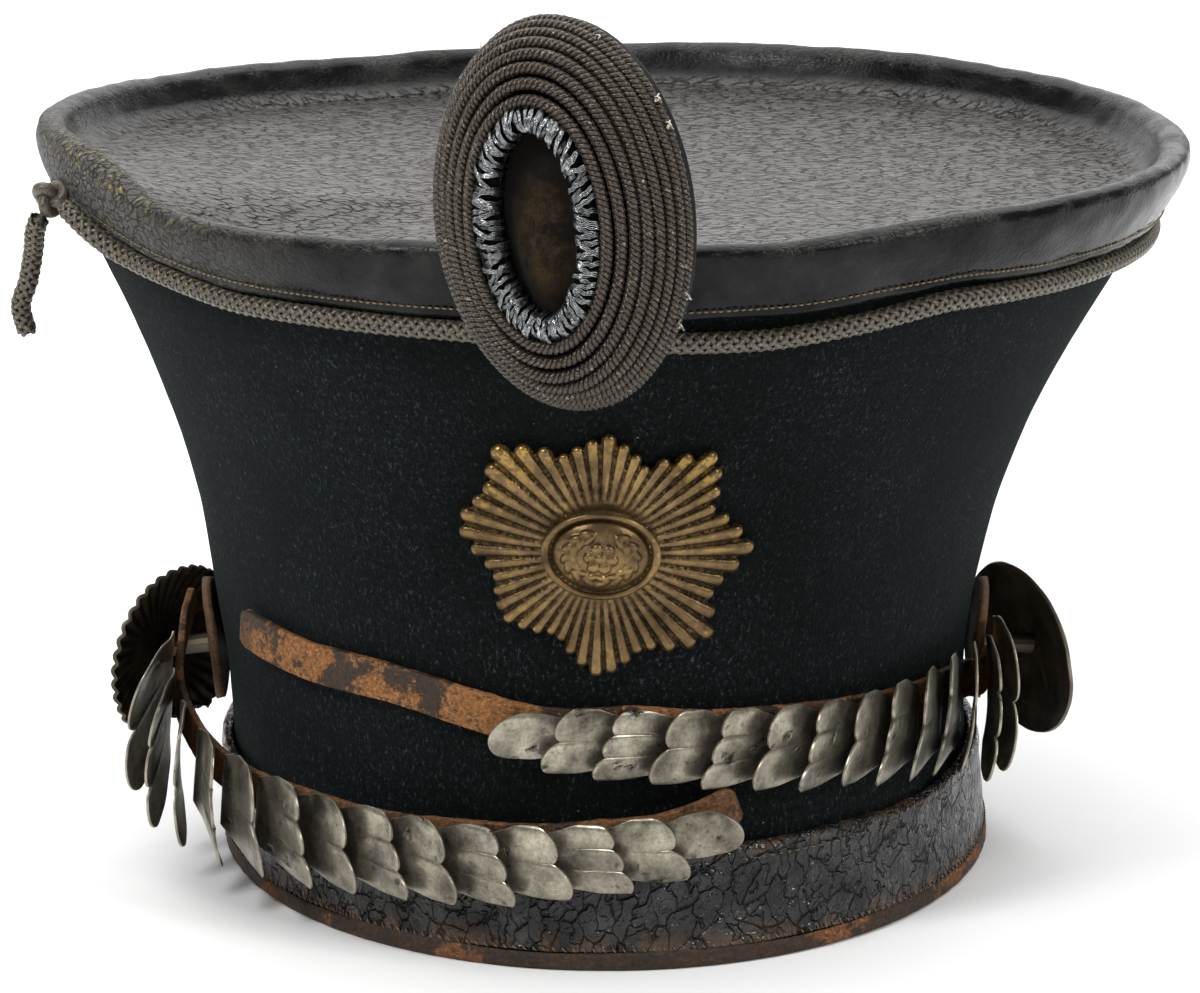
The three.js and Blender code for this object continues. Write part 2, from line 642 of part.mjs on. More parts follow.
// ---- strap bosses, their pads and posts ----
const BOSSES = [
  { side: "left", sign: -1, at: [-97.5, 1, 40], facing: [-0.78, 0.62, 0.12], cut: 15 },
  { side: "right", sign: 1, at: [93.4, 1, 41], facing: [0.85, 0.50, 0.15], cut: 99 },
];
for (const boss of BOSSES) {
  const centre = new THREE.Vector3(...boss.at);
  const facing = new THREE.Vector3(...boss.facing).normalize();
  const side = new THREE.Vector3().crossVectors(new THREE.Vector3(0, 0, 1), facing).normalize();
  const up = new THREE.Vector3().crossVectors(facing, side);
  const ring = (share, depth) => Array.from({ length: 30 }, (_, i) => {
    const t = (2 * Math.PI * i) / 30;
    const x = BOSS_RADIUS * share * Math.cos(t);
    const y = Math.max(BOSS_RADIUS * share * Math.sin(t), -boss.cut);
    return centre.clone().addScaledVector(side, x).addScaledVector(up, y).addScaledVector(facing, depth);
  });
  const shares = [0.3, 0.6, 0.82, 1];
  const dish = (share) => BOSS_DISH * (1 - share * share);
  const apex = (depth) => centre.clone().addScaledVector(facing, depth);
  add(`boss_${boss.side}`, plateSolid(
    shares.map((s) => ring(s, dish(s) + 1)),
    apex(BOSS_DISH + 1),
    shares.map((s) => ring(s, dish(s))),
    apex(BOSS_DISH),
  ), "scale_metal", 0.4, 0.8);

  const padRing = (radius, out) => Array.from({ length: 24 }, (_, i) => {
    const t = (2 * Math.PI * i) / 24;
    const turn = ((radius * Math.cos(t)) / 98) * (180 / Math.PI);
    return hatPoint(boss.sign * 90 + turn, 44 + radius * Math.sin(t), out);
  });
  add(`boss_pad_${boss.side}`, plateSolid(
    [padRing(7, 2.5), padRing(13.5, 2.4)],
    hatPoint(boss.sign * 90, 44, 2.5),
    [padRing(7, GAP + 0.1), padRing(13.5, GAP + 0.1)],
    hatPoint(boss.sign * 90, 44, GAP + 0.1),
  ), "strap_leather", 0.8);

  const foot = hatPoint(boss.sign * 90, 43, 2.5 + 0.7);
  const head = apex(BOSS_DISH - 1.1);
  add(`boss_post_${boss.side}`, post(foot, head, 2.2), "post_metal", 0.5, 0.6);
}

export default hat;
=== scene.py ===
import math
import random

import bpy
import numpy as np
from mathutils import Matrix, Vector, noise


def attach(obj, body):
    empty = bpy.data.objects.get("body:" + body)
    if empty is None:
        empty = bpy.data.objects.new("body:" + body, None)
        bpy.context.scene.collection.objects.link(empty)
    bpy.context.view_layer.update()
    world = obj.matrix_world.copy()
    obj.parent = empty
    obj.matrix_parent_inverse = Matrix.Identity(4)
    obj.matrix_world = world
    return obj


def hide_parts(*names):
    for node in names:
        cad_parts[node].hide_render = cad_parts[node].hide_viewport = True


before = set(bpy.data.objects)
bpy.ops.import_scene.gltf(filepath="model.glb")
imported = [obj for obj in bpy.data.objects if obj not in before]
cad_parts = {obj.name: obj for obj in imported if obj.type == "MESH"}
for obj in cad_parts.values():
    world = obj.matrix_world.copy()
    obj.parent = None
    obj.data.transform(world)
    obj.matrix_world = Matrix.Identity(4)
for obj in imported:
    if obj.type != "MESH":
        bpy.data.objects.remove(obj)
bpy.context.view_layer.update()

bl_info = {
    "name": "Shako Hat",
    "version": (1, 0, 0),
    "blender": (4, 5, 0),
    "location": "View3D > Sidebar > Shako",
    "description": "Builds a cloth shako with leather crown, cockade, badge and chin scales",
    "category": "Add Mesh",
}

MM = 0.001

# ---------------------------------------------------------------- shape of the hat
# All tables are in millimetres and degrees. Angles run from the front towards +X.
SHIFT = np.array([-1.3, 16.5, 0.0])
CLOTH_WALL, GAP = 3.0, 0.3
STRAP_THICK, STRAP_WIDTH, SCALE_THICK = 1.8, 8.5, 1.0

CLOTH = {
    "z": [0, 25, 42, 60, 80, 100, 120, 135, 150, 157, 175],
    "w": [83.6, 82.8, 82.8, 85.4, 88.9, 95.6, 104.5, 112.5, 120.0, 124.0, 125.0],
    "l": [100.3, 99.0, 98.8, 99.6, 101.3, 105.8, 112.3, 117.6, 123.0, 126.6, 127.6],
    "lean": [0.0, -1.5, -2.2, -2.6, -2.0, -1.0, 0.4, 1.4, 2.0, 2.0, 2.0],
}
CROWN = {
    "a": [-180, -150, -120, -95, -75, -64, -57, -51, -44, -34, -17, 8, 18, 26, 34, 46, 65, 80,
          120, 150, 180],
    "crest": [160.3, 159.4, 162.0, 165.0, 167.0, 167.0, 164.0, 159.0, 157.2, 157.5, 159.0, 159.4,
              159.0, 161.0, 162.0, 161.3, 161.0, 160.4, 161.0, 161.0, 160.3],
    "edge": [144.5, 144.5, 146.0, 149.0, 151.5, 151.3, 148.2, 145.8, 143.9, 143.0, 143.0, 143.0,
             143.5, 145.3, 146.5, 145.3, 145.3, 144.2, 144.5, 144.5, 144.5],
}
CORD = {
    "a": [-65.5, -62.5, -60, -57, -52, -41, -17, 8, 16, 25, 34, 51, 78, 120, 180, 230, 262, 272,
          278, 284, 289],
    "z": [153.4, 150.6, 146.6, 144.6, 143.2, 140.6, 140.3, 138.1, 138.1, 140.2, 143.0, 142.3,
          141.6, 141.6, 141.8, 142.6, 145.8, 146.2, 148.2, 151.6, 153.8],
    "out": [6.0, 6.0, 5.0, 3.2, 2.7, 2.7, 2.7, 2.7, 2.7, 2.7, 2.7, 2.7, 2.7, 2.7, 2.7, 2.7, 2.7,
            3.6, 6.0, 6.0, 6.0],
}
CORD_END = [(-120.4, -51.2, 150.0), (-121.6, -48.6, 146.8), (-122.4, -44.5, 142.5),
            (-124.0, -42.0, 135.0), (-126.0, -40.0, 129.0), (-125.0, -38.3, 123.0)]
ROUTES = {
    "right": [(84, 42.0, 5.0), (78, 40.0, 4.6), (70, 40.6, 3.2), (62, 41.8, 2.2), (53, 42.8, 1.7),
              (44, 44.0, 1.6), (34, 45.2, 1.6), (23, 46.8, 1.6), (14, 48.2, 1.6), (3, 50.0, 1.6),
              (-5, 51.0, 1.6), (-12, 52.4, 1.6), (-18, 54.6, 1.6), (-27, 57.8, 1.6),
              (-35, 59.0, 1.8), (-43, 59.6, 2.4), (-51, 60.6, 3.2), (-58, 61.6, 3.8)],
    "left": [(-87, 55.0, 6.0), (-82, 48.0, 9.5), (-77, 41.0, 12.5), (-71, 35.0, 14.0),
             (-63, 30.0, 14.0), (-54, 26.5, 12.0), (-43, 24.4, 8.6), (-32, 23.8, 6.2),
             (-24, 23.6, 5.2), (-14, 24.2, 4.6), (-4, 25.6, 4.4), (6, 27.6, 4.4),
             (14, 30.6, 4.2), (20, 34.0, 3.6)],
}
# For each half: distance of its last scale from the boss, the scales' pitch, the way across that
# points down, and where the bare strap is level with its scales again.
START, PITCH = {"right": 0.3, "left": 19.0}, {"right": 10.9, "left": 11.8}
LOW, LEVEL = {"right": 1, "left": -1}, {"right": 178, "left": 240}
STRAP_RISE_MOST, SCALE_SLANT = 3.6, 0.33
SCALES = {
    "n": [1, 2, 5, 8, 11, 14],
    "width": [10.0, 14.0, 16.5, 19.0, 24.5, 30.0],
    "length": [16.7, 16.0, 17.0, 18.5, 21.0, 24.0],
    "lift": [0.15, 0.15, 0.15, 0.17, 0.22, 0.30],
}
BADGE_RAYS = {
    "a": [0, 23, 46, 68, 90, 110, 129, 154, 178, 206, 234, 258, 281, 298, 315, 338, 360],
    "reach": [26.8, 21.2, 31.8, 25.3, 33.0, 26.2, 32.4, 23.5, 27.8, 20.2, 26.0, 23.5, 32.0, 28.7,
              33.2, 24.0, 26.8],
}
BADGE_AT = (0.1, 91.0)
# The cockade's dome: the slope of each cord's bed in degrees, from the outer edge inwards.
DOME_SLOPES, CORD_BED, COIL_HALF = (85, 70, 65, 55, 40, 28, 24, 24), 2.75, (27.1, 39.4, 3.4)
COCKADE_AT, COCKADE_YAW, COCKADE_ROLL = (-6.5, -139.0, 168.7), -24, 6


def read(table, key, value, column, reach=0):
    """A table's column at a value, averaged over `reach` either side."""
    keys, values = np.asarray(table[key], float), np.asarray(table[column], float)
    value = np.asarray(value, float)
    steps = (-1, -0.5, 0, 0.5, 1) if reach else (0,)
    return sum(np.interp(value + s * reach, keys, values) for s in steps) / len(steps)


def crown(angle, column):
    return read(CROWN, "a", (np.asarray(angle, float) + 180) % 360 - 180, column, 3)


def hat(angle, z, out):
    """Points in metres at an angle and height, standing `out` off the cloth."""
    angle, z, out = np.broadcast_arrays(np.asarray(angle, float), z, out)
    turn = np.radians(angle)
    w = read(CLOTH, "z", z, "w", 6) + out
    l = read(CLOTH, "z", z, "l", 6) + out
    x = read(CLOTH, "z", z, "lean", 6) + w * np.sin(turn)
    return (np.stack([x, -l * np.cos(turn), z], -1) + SHIFT) * MM


def unit(v):
    return v / np.maximum(np.linalg.norm(v, axis=-1, keepdims=True), 1e-12)


def smooth_curve(points, steps=400):
    """Centripetal spline through points, read at equal distances."""
    p = np.asarray(points, float)
    p = np.vstack([2 * p[0] - p[1], p, 2 * p[-1] - p[-2]])
    out = []
    for i in range(1, len(p) - 2):
        a, b, c, d = p[i - 1:i + 3]
        da, db, dc = (max(np.linalg.norm(v) ** 0.5, 1e-6) for v in (b - a, c - b, d - c))
        m1 = ((b - a) / da - (c - a) / (da + db) + (c - b) / db) * db
        m2 = ((c - b) / db - (d - b) / (db + dc) + (d - c) / dc) * db
        t = np.linspace(0, 1, 24, endpoint=False)[:, None]
        out.append(b + m1 * t + (-3 * b + 3 * c - 2 * m1 - m2) * t ** 2
                   + (2 * b - 2 * c + m1 + m2) * t ** 3)
    return even(np.vstack(out + [p[-2:-1]]), steps)


def even(points, count, closed=False):
    """The same line with its points at equal distances."""
    p = np.vstack([points, points[:1]]) if closed else np.asarray(points, float)
    along = np.concatenate([[0], np.cumsum(np.linalg.norm(np.diff(p, axis=0), axis=1))])
    at = np.linspace(0, along[-1], count, endpoint=not closed)
    return np.stack([np.interp(at, along, p[:, k]) for k in range(3)], 1)


def length_of(points):
    return float(np.linalg.norm(np.diff(points, axis=0), axis=1).sum())


# ---------------------------------------------------------------- making pieces
def deselect():
    if bpy.context.object and bpy.context.object.mode != "OBJECT":
        bpy.ops.object.mode_set(mode="OBJECT")
    bpy.ops.object.select_all(action="DESELECT")


def pick(piece):
    deselect()
    piece.select_set(True)
    bpy.context.view_layer.objects.active = piece
    return piece


def settle(piece, name, finish, slot, *nodes):
    """Names a finished piece, gives it its finish, and says what it rides on and replaces."""
    piece.name = name
    piece.data.name = name
    piece.data.materials.clear()
    piece.data.materials.append(finish)
    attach(piece, "root")
    if nodes:
        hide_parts(*nodes)
    return piece


def modify(piece, kind, **settings):
    """Adds a modifier with its settings and applies it."""
    pick(piece)
    modifier = piece.modifiers.new(kind.title(), kind)
    for key, value in settings.items():
        setattr(modifier, key, value)
    bpy.ops.object.modifier_apply(modifier=modifier.name)
    return piece


def points_of(piece):
    co = np.empty(len(piece.data.vertices) * 3)
    piece.data.vertices.foreach_get("co", co)
    return co.reshape(-1, 3)


def move_points(piece, co):
    piece.data.vertices.foreach_set("co", np.ascontiguousarray(co, dtype=float).ravel())
    piece.data.update()


def soft_sheet(columns, rows, place):
    """A cut sheet laid over the hat: place(u, v) gives where each point of it goes."""
    deselect()
    bpy.ops.mesh.primitive_grid_add(x_subdivisions=columns, y_subdivisions=rows, size=1)
    piece = bpy.context.object
    flat = points_of(piece)
    move_points(piece, place(flat[:, 0] + 0.5, flat[:, 1] + 0.5))
    bpy.ops.object.mode_set(mode="EDIT")
    bpy.ops.mesh.select_all(action="SELECT")
    bpy.ops.mesh.remove_doubles(threshold=2e-6)
    bpy.ops.object.mode_set(mode="OBJECT")
    bpy.ops.object.shade_smooth()
    return piece


def joined(parts):
    deselect()
    for part in parts:
        part.select_set(True)
    bpy.context.view_layer.objects.active = parts[0]
    bpy.ops.object.join()
    return bpy.context.object


def tube_mesh(lines, references, wide, thick, sides, closed=False):
    """Tubes along many lines at once: wide along the surface, thick away from it."""
    verts, faces, start = [], [], 0
    turn = 2 * np.pi * np.arange(sides) / sides
    for line, reference in zip(lines, references):
        n = len(line)
        if closed:
            along = unit(np.roll(line, -1, 0) - np.roll(line, 1, 0))
        else:
            along = unit(np.gradient(line, axis=0))
        side = unit(np.cross(along, reference))
        up = np.cross(side, along)
        w = np.broadcast_to(np.asarray(wide, float), (n,))[:, None, None]
        t = np.broadcast_to(np.asarray(thick, float), (n,))[:, None, None]
        ring = (line[:, None] + w * np.cos(turn)[None, :, None] * side[:, None]
                + t * np.sin(turn)[None, :, None] * up[:, None])
        verts.append(ring.reshape(-1, 3))
        i = np.arange(n if closed else n - 1)[:, None]
        j = np.arange(sides)[None]
        k, m = (i + 1) % n, (j + 1) % sides
        quads = np.stack([i * sides + j, i * sides + m, k * sides + m, k * sides + j], -1)
        faces += (quads.reshape(-1, 4) + start).tolist()
        if not closed:
            faces.append([start + s for s in range(sides)][::-1])
            faces.append([start + (n - 1) * sides + s for s in range(sides)])
        start += n * sides
    return np.vstack(verts), faces


def mesh_piece(name, verts, faces):
    data = bpy.data.meshes.new(name)
    data.from_pydata(np.asarray(verts).tolist(), [], faces)
    data.validate()
    piece = bpy.data.objects.new(name, data)
    bpy.context.scene.collection.objects.link(piece)
    pick(piece)
    bpy.ops.object.mode_set(mode="EDIT")
    bpy.ops.mesh.select_all(action="SELECT")
    bpy.ops.mesh.normals_make_consistent(inside=False)
    bpy.ops.object.mode_set(mode="OBJECT")
    bpy.ops.object.shade_smooth()
    return piece


def spine_frames(spine, reference, closed):
    if closed:
        along = unit(np.roll(spine, -1, 0) - np.roll(spine, 1, 0))
    else:
        along = unit(np.gradient(spine, axis=0))
    side = unit(np.cross(along, reference))
    return side, np.cross(side, along)


def braid_lines(spine, reference, radius, strands, crossing, weave):
    """Strands of a round braid: half wind each way, passing over and under in turn."""
    side, up = spine_frames(spine, reference, False)
    step = np.concatenate([[0], np.cumsum(np.linalg.norm(np.diff(spine, axis=0), axis=1))])
    lines, references = [], []
    for way in (1, -1):
        for k in range(strands):
            turn = 2 * np.pi * k / strands + way * np.pi * step / (crossing * strands)
            r = radius + way * weave * np.cos(np.pi * step / crossing)
            away = np.cos(turn)[:, None] * side + np.sin(turn)[:, None] * up
            lines.append(spine + r[:, None] * away)
            references.append(away)
    return lines, references


def twist_lines(spine, reference, plies, turns, offset, closed):
    """Plies of a twisted cord round a line."""
    side, up = spine_frames(spine, reference, closed)
    share = np.arange(len(spine)) / (len(spine) if closed else len(spine) - 1)
    lines, references = [], []
    for k in range(plies):
        turn = 2 * np.pi * (k / plies + turns * share)
        away = np.cos(turn)[:, None] * side + np.sin(turn)[:, None] * up
        lines.append(spine + offset * away)
        references.append(away)
    return lines, references


# ---------------------------------------------------------------- finishes
def linear(hex_code, alpha=1.0):
    """An sRGB hex colour as linear light."""
    parts = [int(hex_code[i:i + 2], 16) / 255 for i in (1, 3, 5)]
    return tuple(c / 12.92 if c <= 0.04045 else ((c + 0.055) / 1.055) ** 2.4 for c in parts) + (alpha,)


def node(material, kind, links=None, stops=None, **settings):
    """Adds one node to a material, with its settings, its values and its links."""
    made = material.node_tree.nodes.new(kind)
    for key, value in settings.items():
        setattr(made, key, value)
    if stops:
        ramp = made.color_ramp
        while len(ramp.elements) < len(stops):
            ramp.elements.new(0.5)
        for element, (place, colour) in zip(ramp.elements, stops):
            element.position = place
            element.color = linear(colour) if isinstance(colour, str) else (colour,) * 3 + (1,)
    for key, value in (links or {}).items():
        socket = made.inputs[key]
        if isinstance(value, bpy.types.NodeSocket):
            material.node_tree.links.new(value, socket)
        else:
            socket.default_value = value
    return made


def new_finish(name, **shader):
    """A material with its shader ready; the values given are set on the shader's own sockets."""
    material = bpy.data.materials.new(name)
    material.use_nodes = True
    surface = material.node_tree.nodes["Principled BSDF"]
    for key, value in shader.items():
        surface.inputs[key.replace("_", " ")].default_value = value
    coords = node(material, "ShaderNodeTexCoord")
    return material, surface, coords


def into(material, surface, **links):
    for key, socket in links.items():
        material.node_tree.links.new(socket, surface.inputs[key.replace("_", " ")])


def mixed(material, blend_type, factor, first, second):
    """Two colours blended by a factor; each may be a socket, a value or a hex code."""
    values = [linear(v) if isinstance(v, str) else v for v in (factor, first, second)]
    return node(material, "ShaderNodeMix", dict(zip((0, 6, 7), values)), data_type="RGBA",
                blend_type=blend_type).outputs[2]


def grain(material, vector, per_mm, detail=3.0, roughness=0.6, stretch=None):
    """Noise whose lumps repeat about `per_mm` times a millimetre."""
    if stretch:
        vector = node(material, "ShaderNodeMapping", {"Vector": vector, "Scale": stretch}).outputs[0]
    return node(material, "ShaderNodeTexNoise", {"Vector": vector, "Scale": per_mm * 1000,
                "Detail": detail, "Roughness": roughness}).outputs["Fac"]


def product(material, first, second):
    return node(material, "ShaderNodeMath", {0: first, 1: second}, operation="MULTIPLY").outputs[0]


def ramp(material, factor, *stops):
    return node(material, "ShaderNodeValToRGB", {"Fac": factor}, stops=stops).outputs["Color"]


def bumped(material, height, distance_mm, strength=1.0, under=None):
    links = {"Height": height, "Distance": distance_mm * MM, "Strength": strength}
    if under is not None:
        links["Normal"] = under
    return node(material, "ShaderNodeBump", links).outputs["Normal"]


def wool_cloth(c):
    """Milled wool cloth: matt, with a short felted nap that catches light at the edges."""
    m, surface, at = new_finish("Milled wool cloth", Roughness=0.95, Sheen_Weight=0.10,
                                Sheen_Roughness=0.45, IOR=1.45, Specular_IOR_Level=0.12)
    surface.inputs["Sheen Tint"].default_value = linear("#6f8583")
    obj = at.outputs["Object"]
    nap = grain(m, obj, 1.3, 4.0, 0.85, (1.0, 1.0, 0.6))
    patch = grain(m, obj, 0.022, 4.0)
    colour = ramp(m, nap, (0.38, "#010202"), (0.48, c.cloth_dark), (0.58, c.cloth_light),
                  (0.68, "#48504f"))
    shade = ramp(m, patch, (0.35, "#9fa6a5"), (0.65, "#ffffff"))
    # Lint: pale specks a third of a millimetre across, a few to the square centimetre.
    specks = node(m, "ShaderNodeTexVoronoi", {"Vector": obj, "Scale": 300.0}).outputs["Distance"]
    rare = grain(m, obj, 0.11, 2.0)
    lint = product(m, ramp(m, specks, (0.03, 1.0), (0.08, 0.0)), ramp(m, rare, (0.55, 0.0), (0.68, 0.7)))
    rub = node(m, "ShaderNodeAttribute", attribute_name="wear").outputs["Fac"]
    dusty = product(m, rub, ramp(m, nap, (0.42, 0.0), (0.62, 1.0)))
    colour = mixed(m, "MIX", lint, mixed(m, "MULTIPLY", 1.0, colour, shade), "#8b8f8c")
    into(m, surface, Base_Color=mixed(m, "MIX", dusty, colour, "#767a76"),
         Normal=bumped(m, nap, 0.7, 0.9))
    return m


def crown_leather(c):
    """Blackened calf leather, glazed and worn: glossy, finely wrinkled on the flat top and
    rubbed grey with traces of ochre along the rim."""
    m, surface, at = new_finish("Glazed calf leather", IOR=1.5)
    obj = at.outputs["Object"]
    wear, top, ochre = (node(m, "ShaderNodeAttribute", attribute_name=name).outputs["Fac"]
                        for name in ("wear", "top", "ochre"))
    pores = grain(m, obj, 1.15, 3.0, 0.6)
    smears = grain(m, obj, 0.05, 5.0, 0.65)
    # The glaze has crazed into plates: 3.5 mm across on the flat top, 2 mm on the rim.
    warp = node(m, "ShaderNodeVectorMath", {0: node(m, "ShaderNodeTexNoise", {"Vector": obj,
                "Scale": 260.0, "Detail": 2.0}).outputs["Color"], "Scale": 0.0022},
                operation="SCALE").outputs[0]
    moved = node(m, "ShaderNodeVectorMath", {0: obj, 1: warp}, operation="ADD").outputs[0]
    moved = node(m, "ShaderNodeMapping", {"Vector": moved, "Scale": (0.75, 1.35, 1.0)}).outputs[0]
    wide, fine = (node(m, "ShaderNodeTexVoronoi", {"Vector": moved, "Scale": per_m},
                       feature="DISTANCE_TO_EDGE").outputs["Distance"] for per_m in (350.0, 520.0))
    broken = ramp(m, grain(m, obj, 0.3, 3.0), (0.40, 0.2), (0.52, 1.0))
    swell = grain(m, obj, 0.42, 4.0, 0.6)
    crease = product(m, ramp(m, wide, (0.0, 1.0), (0.16, 0.0)),
                     product(m, top, broken))
    crazed = product(m, ramp(m, fine, (0.0, 1.0), (0.12, 0.0)), product(m, wear, 0.9))
    colour = ramp(m, smears, (0.3, c.leather_dark), (0.55, c.leather_light), (0.75, "#1a1816"))
    colour = mixed(m, "MIX", product(m, top, ramp(m, swell, (0.35, 0.2), (0.65, 1.0))), colour, "#38312a")
    rubbed = mixed(m, "MIX", product(m, wear, ramp(m, pores, (0.4, 0.35), (0.62, 1.0))), colour,
                   c.leather_worn)
    flaked = product(m, ochre, ramp(m, grain(m, obj, 0.6, 4.0, 0.7), (0.54, 0.0), (0.62, 1.0)))
    colour = mixed(m, "MIX", flaked, rubbed, "#8f8258")
    dark = node(m, "ShaderNodeMath", {0: crease, 1: crazed}, operation="MAXIMUM").outputs[0]
    # Painted shade: the creases of the top's wrinkles are painted near-black, and so is the crazing on the
    # rubbed rim, partly its cracks' own dark and partly painted shade.
    colour = mixed(m, "MIX", product(m, dark, 0.9), colour, "#050404")
    dull = node(m, "ShaderNodeMath", {0: ramp(m, smears, (0.3, 0.17), (0.7, 0.30)),
                                      1: product(m, wear, 0.35)}, operation="ADD").outputs[0]
    rough = node(m, "ShaderNodeMath", {0: dull, 1: product(m, top, 0.10)}, operation="ADD").outputs[0]
    normal = bumped(m, pores, 0.13, 1.0)
    normal = bumped(m, product(m, swell, top), 0.8, 0.8, normal)
    normal = bumped(m, dark, -0.6, 1.0, normal)
    shine = mixed(m, "MIX", top, ramp(m, smears, (0.35, 0.08), (0.7, 0.24)),
                  ramp(m, pores, (0.35, 0.25), (0.6, 0.62)))
    shine = product(m, shine, ramp(m, dark, (0.0, 1.0), (1.0, 0.1)))
    into(m, surface, Base_Color=colour, Roughness=rough, Normal=normal, Specular_IOR_Level=shine)
    return m


def band_leather(c):
    """Japanned harness leather: hard black gloss that has crazed into small plates."""
    m, surface, at = new_finish("Crazed japanned leather", IOR=1.52)
    obj = at.outputs["Object"]
    warp = grain(m, obj, 0.09, 3.0)
    moved = node(m, "ShaderNodeVectorMath", {0: obj, 1: node(m, "ShaderNodeVectorMath",
                 {0: warp, "Scale": 0.012}, operation="SCALE").outputs[0]}, operation="ADD").outputs[0]
    # Plates 3 to 5 mm across, taller than wide, with finer ones inside them.
    tall = node(m, "ShaderNodeMapping", {"Vector": moved, "Scale": (1.0, 1.0, 0.55)}).outputs[0]
    wide_cracks, fine_cracks = (node(m, "ShaderNodeTexVoronoi", {"Vector": tall, "Scale": per_m},
                                     feature="DISTANCE_TO_EDGE").outputs["Distance"]
                                for per_m in (250.0, 620.0))
    plates = ramp(m, wide_cracks, (0.0, 0.0), (0.06, 1.0))
    crumbs = ramp(m, fine_cracks, (0.0, 0.0), (0.16, 1.0))
    smears = grain(m, obj, 0.06, 4.0, 0.65)
    colour = ramp(m, smears, (0.3, "#0b0b0b"), (0.55, c.band_dark), (0.74, "#35332f"))
    wear = node(m, "ShaderNodeAttribute", attribute_name="wear").outputs["Fac"]
    bare = product(m, wear, ramp(m, grain(m, obj, 0.16, 4.0), (0.45, 0.0), (0.55, 1.0)))
    # The cracks between the plates are painted darker: partly their own dark, partly painted shade in them.
    colour = mixed(m, "MIX", bare, mixed(m, "MULTIPLY", 0.5, colour, plates), "#5d4630")
    rough = ramp(m, grain(m, obj, 0.2, 4.0), (0.38, 0.12), (0.66, 0.42))
    normal = bumped(m, crumbs, 0.14, 0.8, bumped(m, grain(m, obj, 0.25, 3.0), 0.7, 0.9))
    normal = bumped(m, plates, 0.45, 1.0, normal)
    shine = product(m, ramp(m, smears, (0.35, 0.25), (0.65, 0.6)), ramp(m, plates, (0.0, 0.3), (1.0, 1.0)))
    into(m, surface, Base_Color=colour, Roughness=rough, Normal=normal, Specular_IOR_Level=shine)
    return m


def brown_leather(name, dark, light, bright, rough=0.62):
    """Vegetable-tanned strap leather: its dark face cracks and rubs through to tan suede."""
    m, surface, at = new_finish(name, IOR=1.5, Specular_IOR_Level=0.3)
    obj = at.outputs["Object"]
    fibre = grain(m, obj, 1.1, 4.0, 0.7)
    patch = grain(m, obj, 0.055, 6.0, 0.78)
    cracks = grain(m, obj, 0.7, 3.0, 0.8, (0.6, 1.0, 1.6))
    wear = node(m, "ShaderNodeAttribute", attribute_name="wear").outputs["Fac"]
    shown = product(m, ramp(m, patch, (0.46, 0.0), (0.50, 1.0)), wear)
    shown = product(m, shown, ramp(m, cracks, (0.36, 0.15), (0.46, 1.0)))
    face = ramp(m, fibre, (0.3, dark), (0.7, light))
    suede = ramp(m, fibre, (0.25, light), (0.55, bright), (0.8, "#b98d5c"))
    into(m, surface, Base_Color=mixed(m, "MIX", shown, face, suede),
         Roughness=ramp(m, shown, (0.0, rough), (1.0, 0.92)),
         Normal=bumped(m, fibre, 0.22, 0.8, bumped(m, cracks, 0.5, 0.6)))
    return m


def thread(name, dark, light, glint, share=0.12, metallic=0.0, rough=0.55, sheen=0.1):
    """Silk or wire thread: fine fibres, each tube painted darker towards its sides as painted shade, and a
    few bright spots painted along the strands as painted highlights.
    """
    m, surface, at = new_finish(name, Sheen_Weight=sheen, Sheen_Roughness=0.4, Metallic=metallic)
    obj = at.outputs["Object"]
    fibre = grain(m, obj, 2.2, 3.0, 0.7)
    strand = grain(m, obj, 0.8, 4.0, 0.7)
    cloud = grain(m, obj, 0.07, 3.0)
    crest = node(m, "ShaderNodeAttribute", attribute_name="crest").outputs["Fac"]
    colour = ramp(m, fibre, (0.3, dark), (0.68, light))
    # Painted shade: the colour darkens towards each tube's sides and underside, where it faces its
    # neighbours and the surface it lies on.
    colour = mixed(m, "MULTIPLY", 1.0, colour, ramp(m, crest, (0.35, "#100f0e"), (0.8, "#ffffff")))
    # Painted highlights: glint-coloured spots along some strands stand for the light the threads catch.
    gilt_and_painted_glints = product(m, ramp(m, strand, (0.66 - share * 0.6, 0.0), (0.74 - share * 0.5, 0.8)),
                   ramp(m, cloud, (0.38, 0.25), (0.62, 1.0)))
    into(m, surface, Base_Color=mixed(m, "MIX", gilt_and_painted_glints, colour, glint),
         Specular_IOR_Level=ramp(m, crest, (0.35, 0.05), (0.9, 0.6)),
         Roughness=ramp(m, strand, (0.4, rough), (0.75, rough * 0.6)),
         Normal=bumped(m, fibre, 0.12, 0.8))
    return m


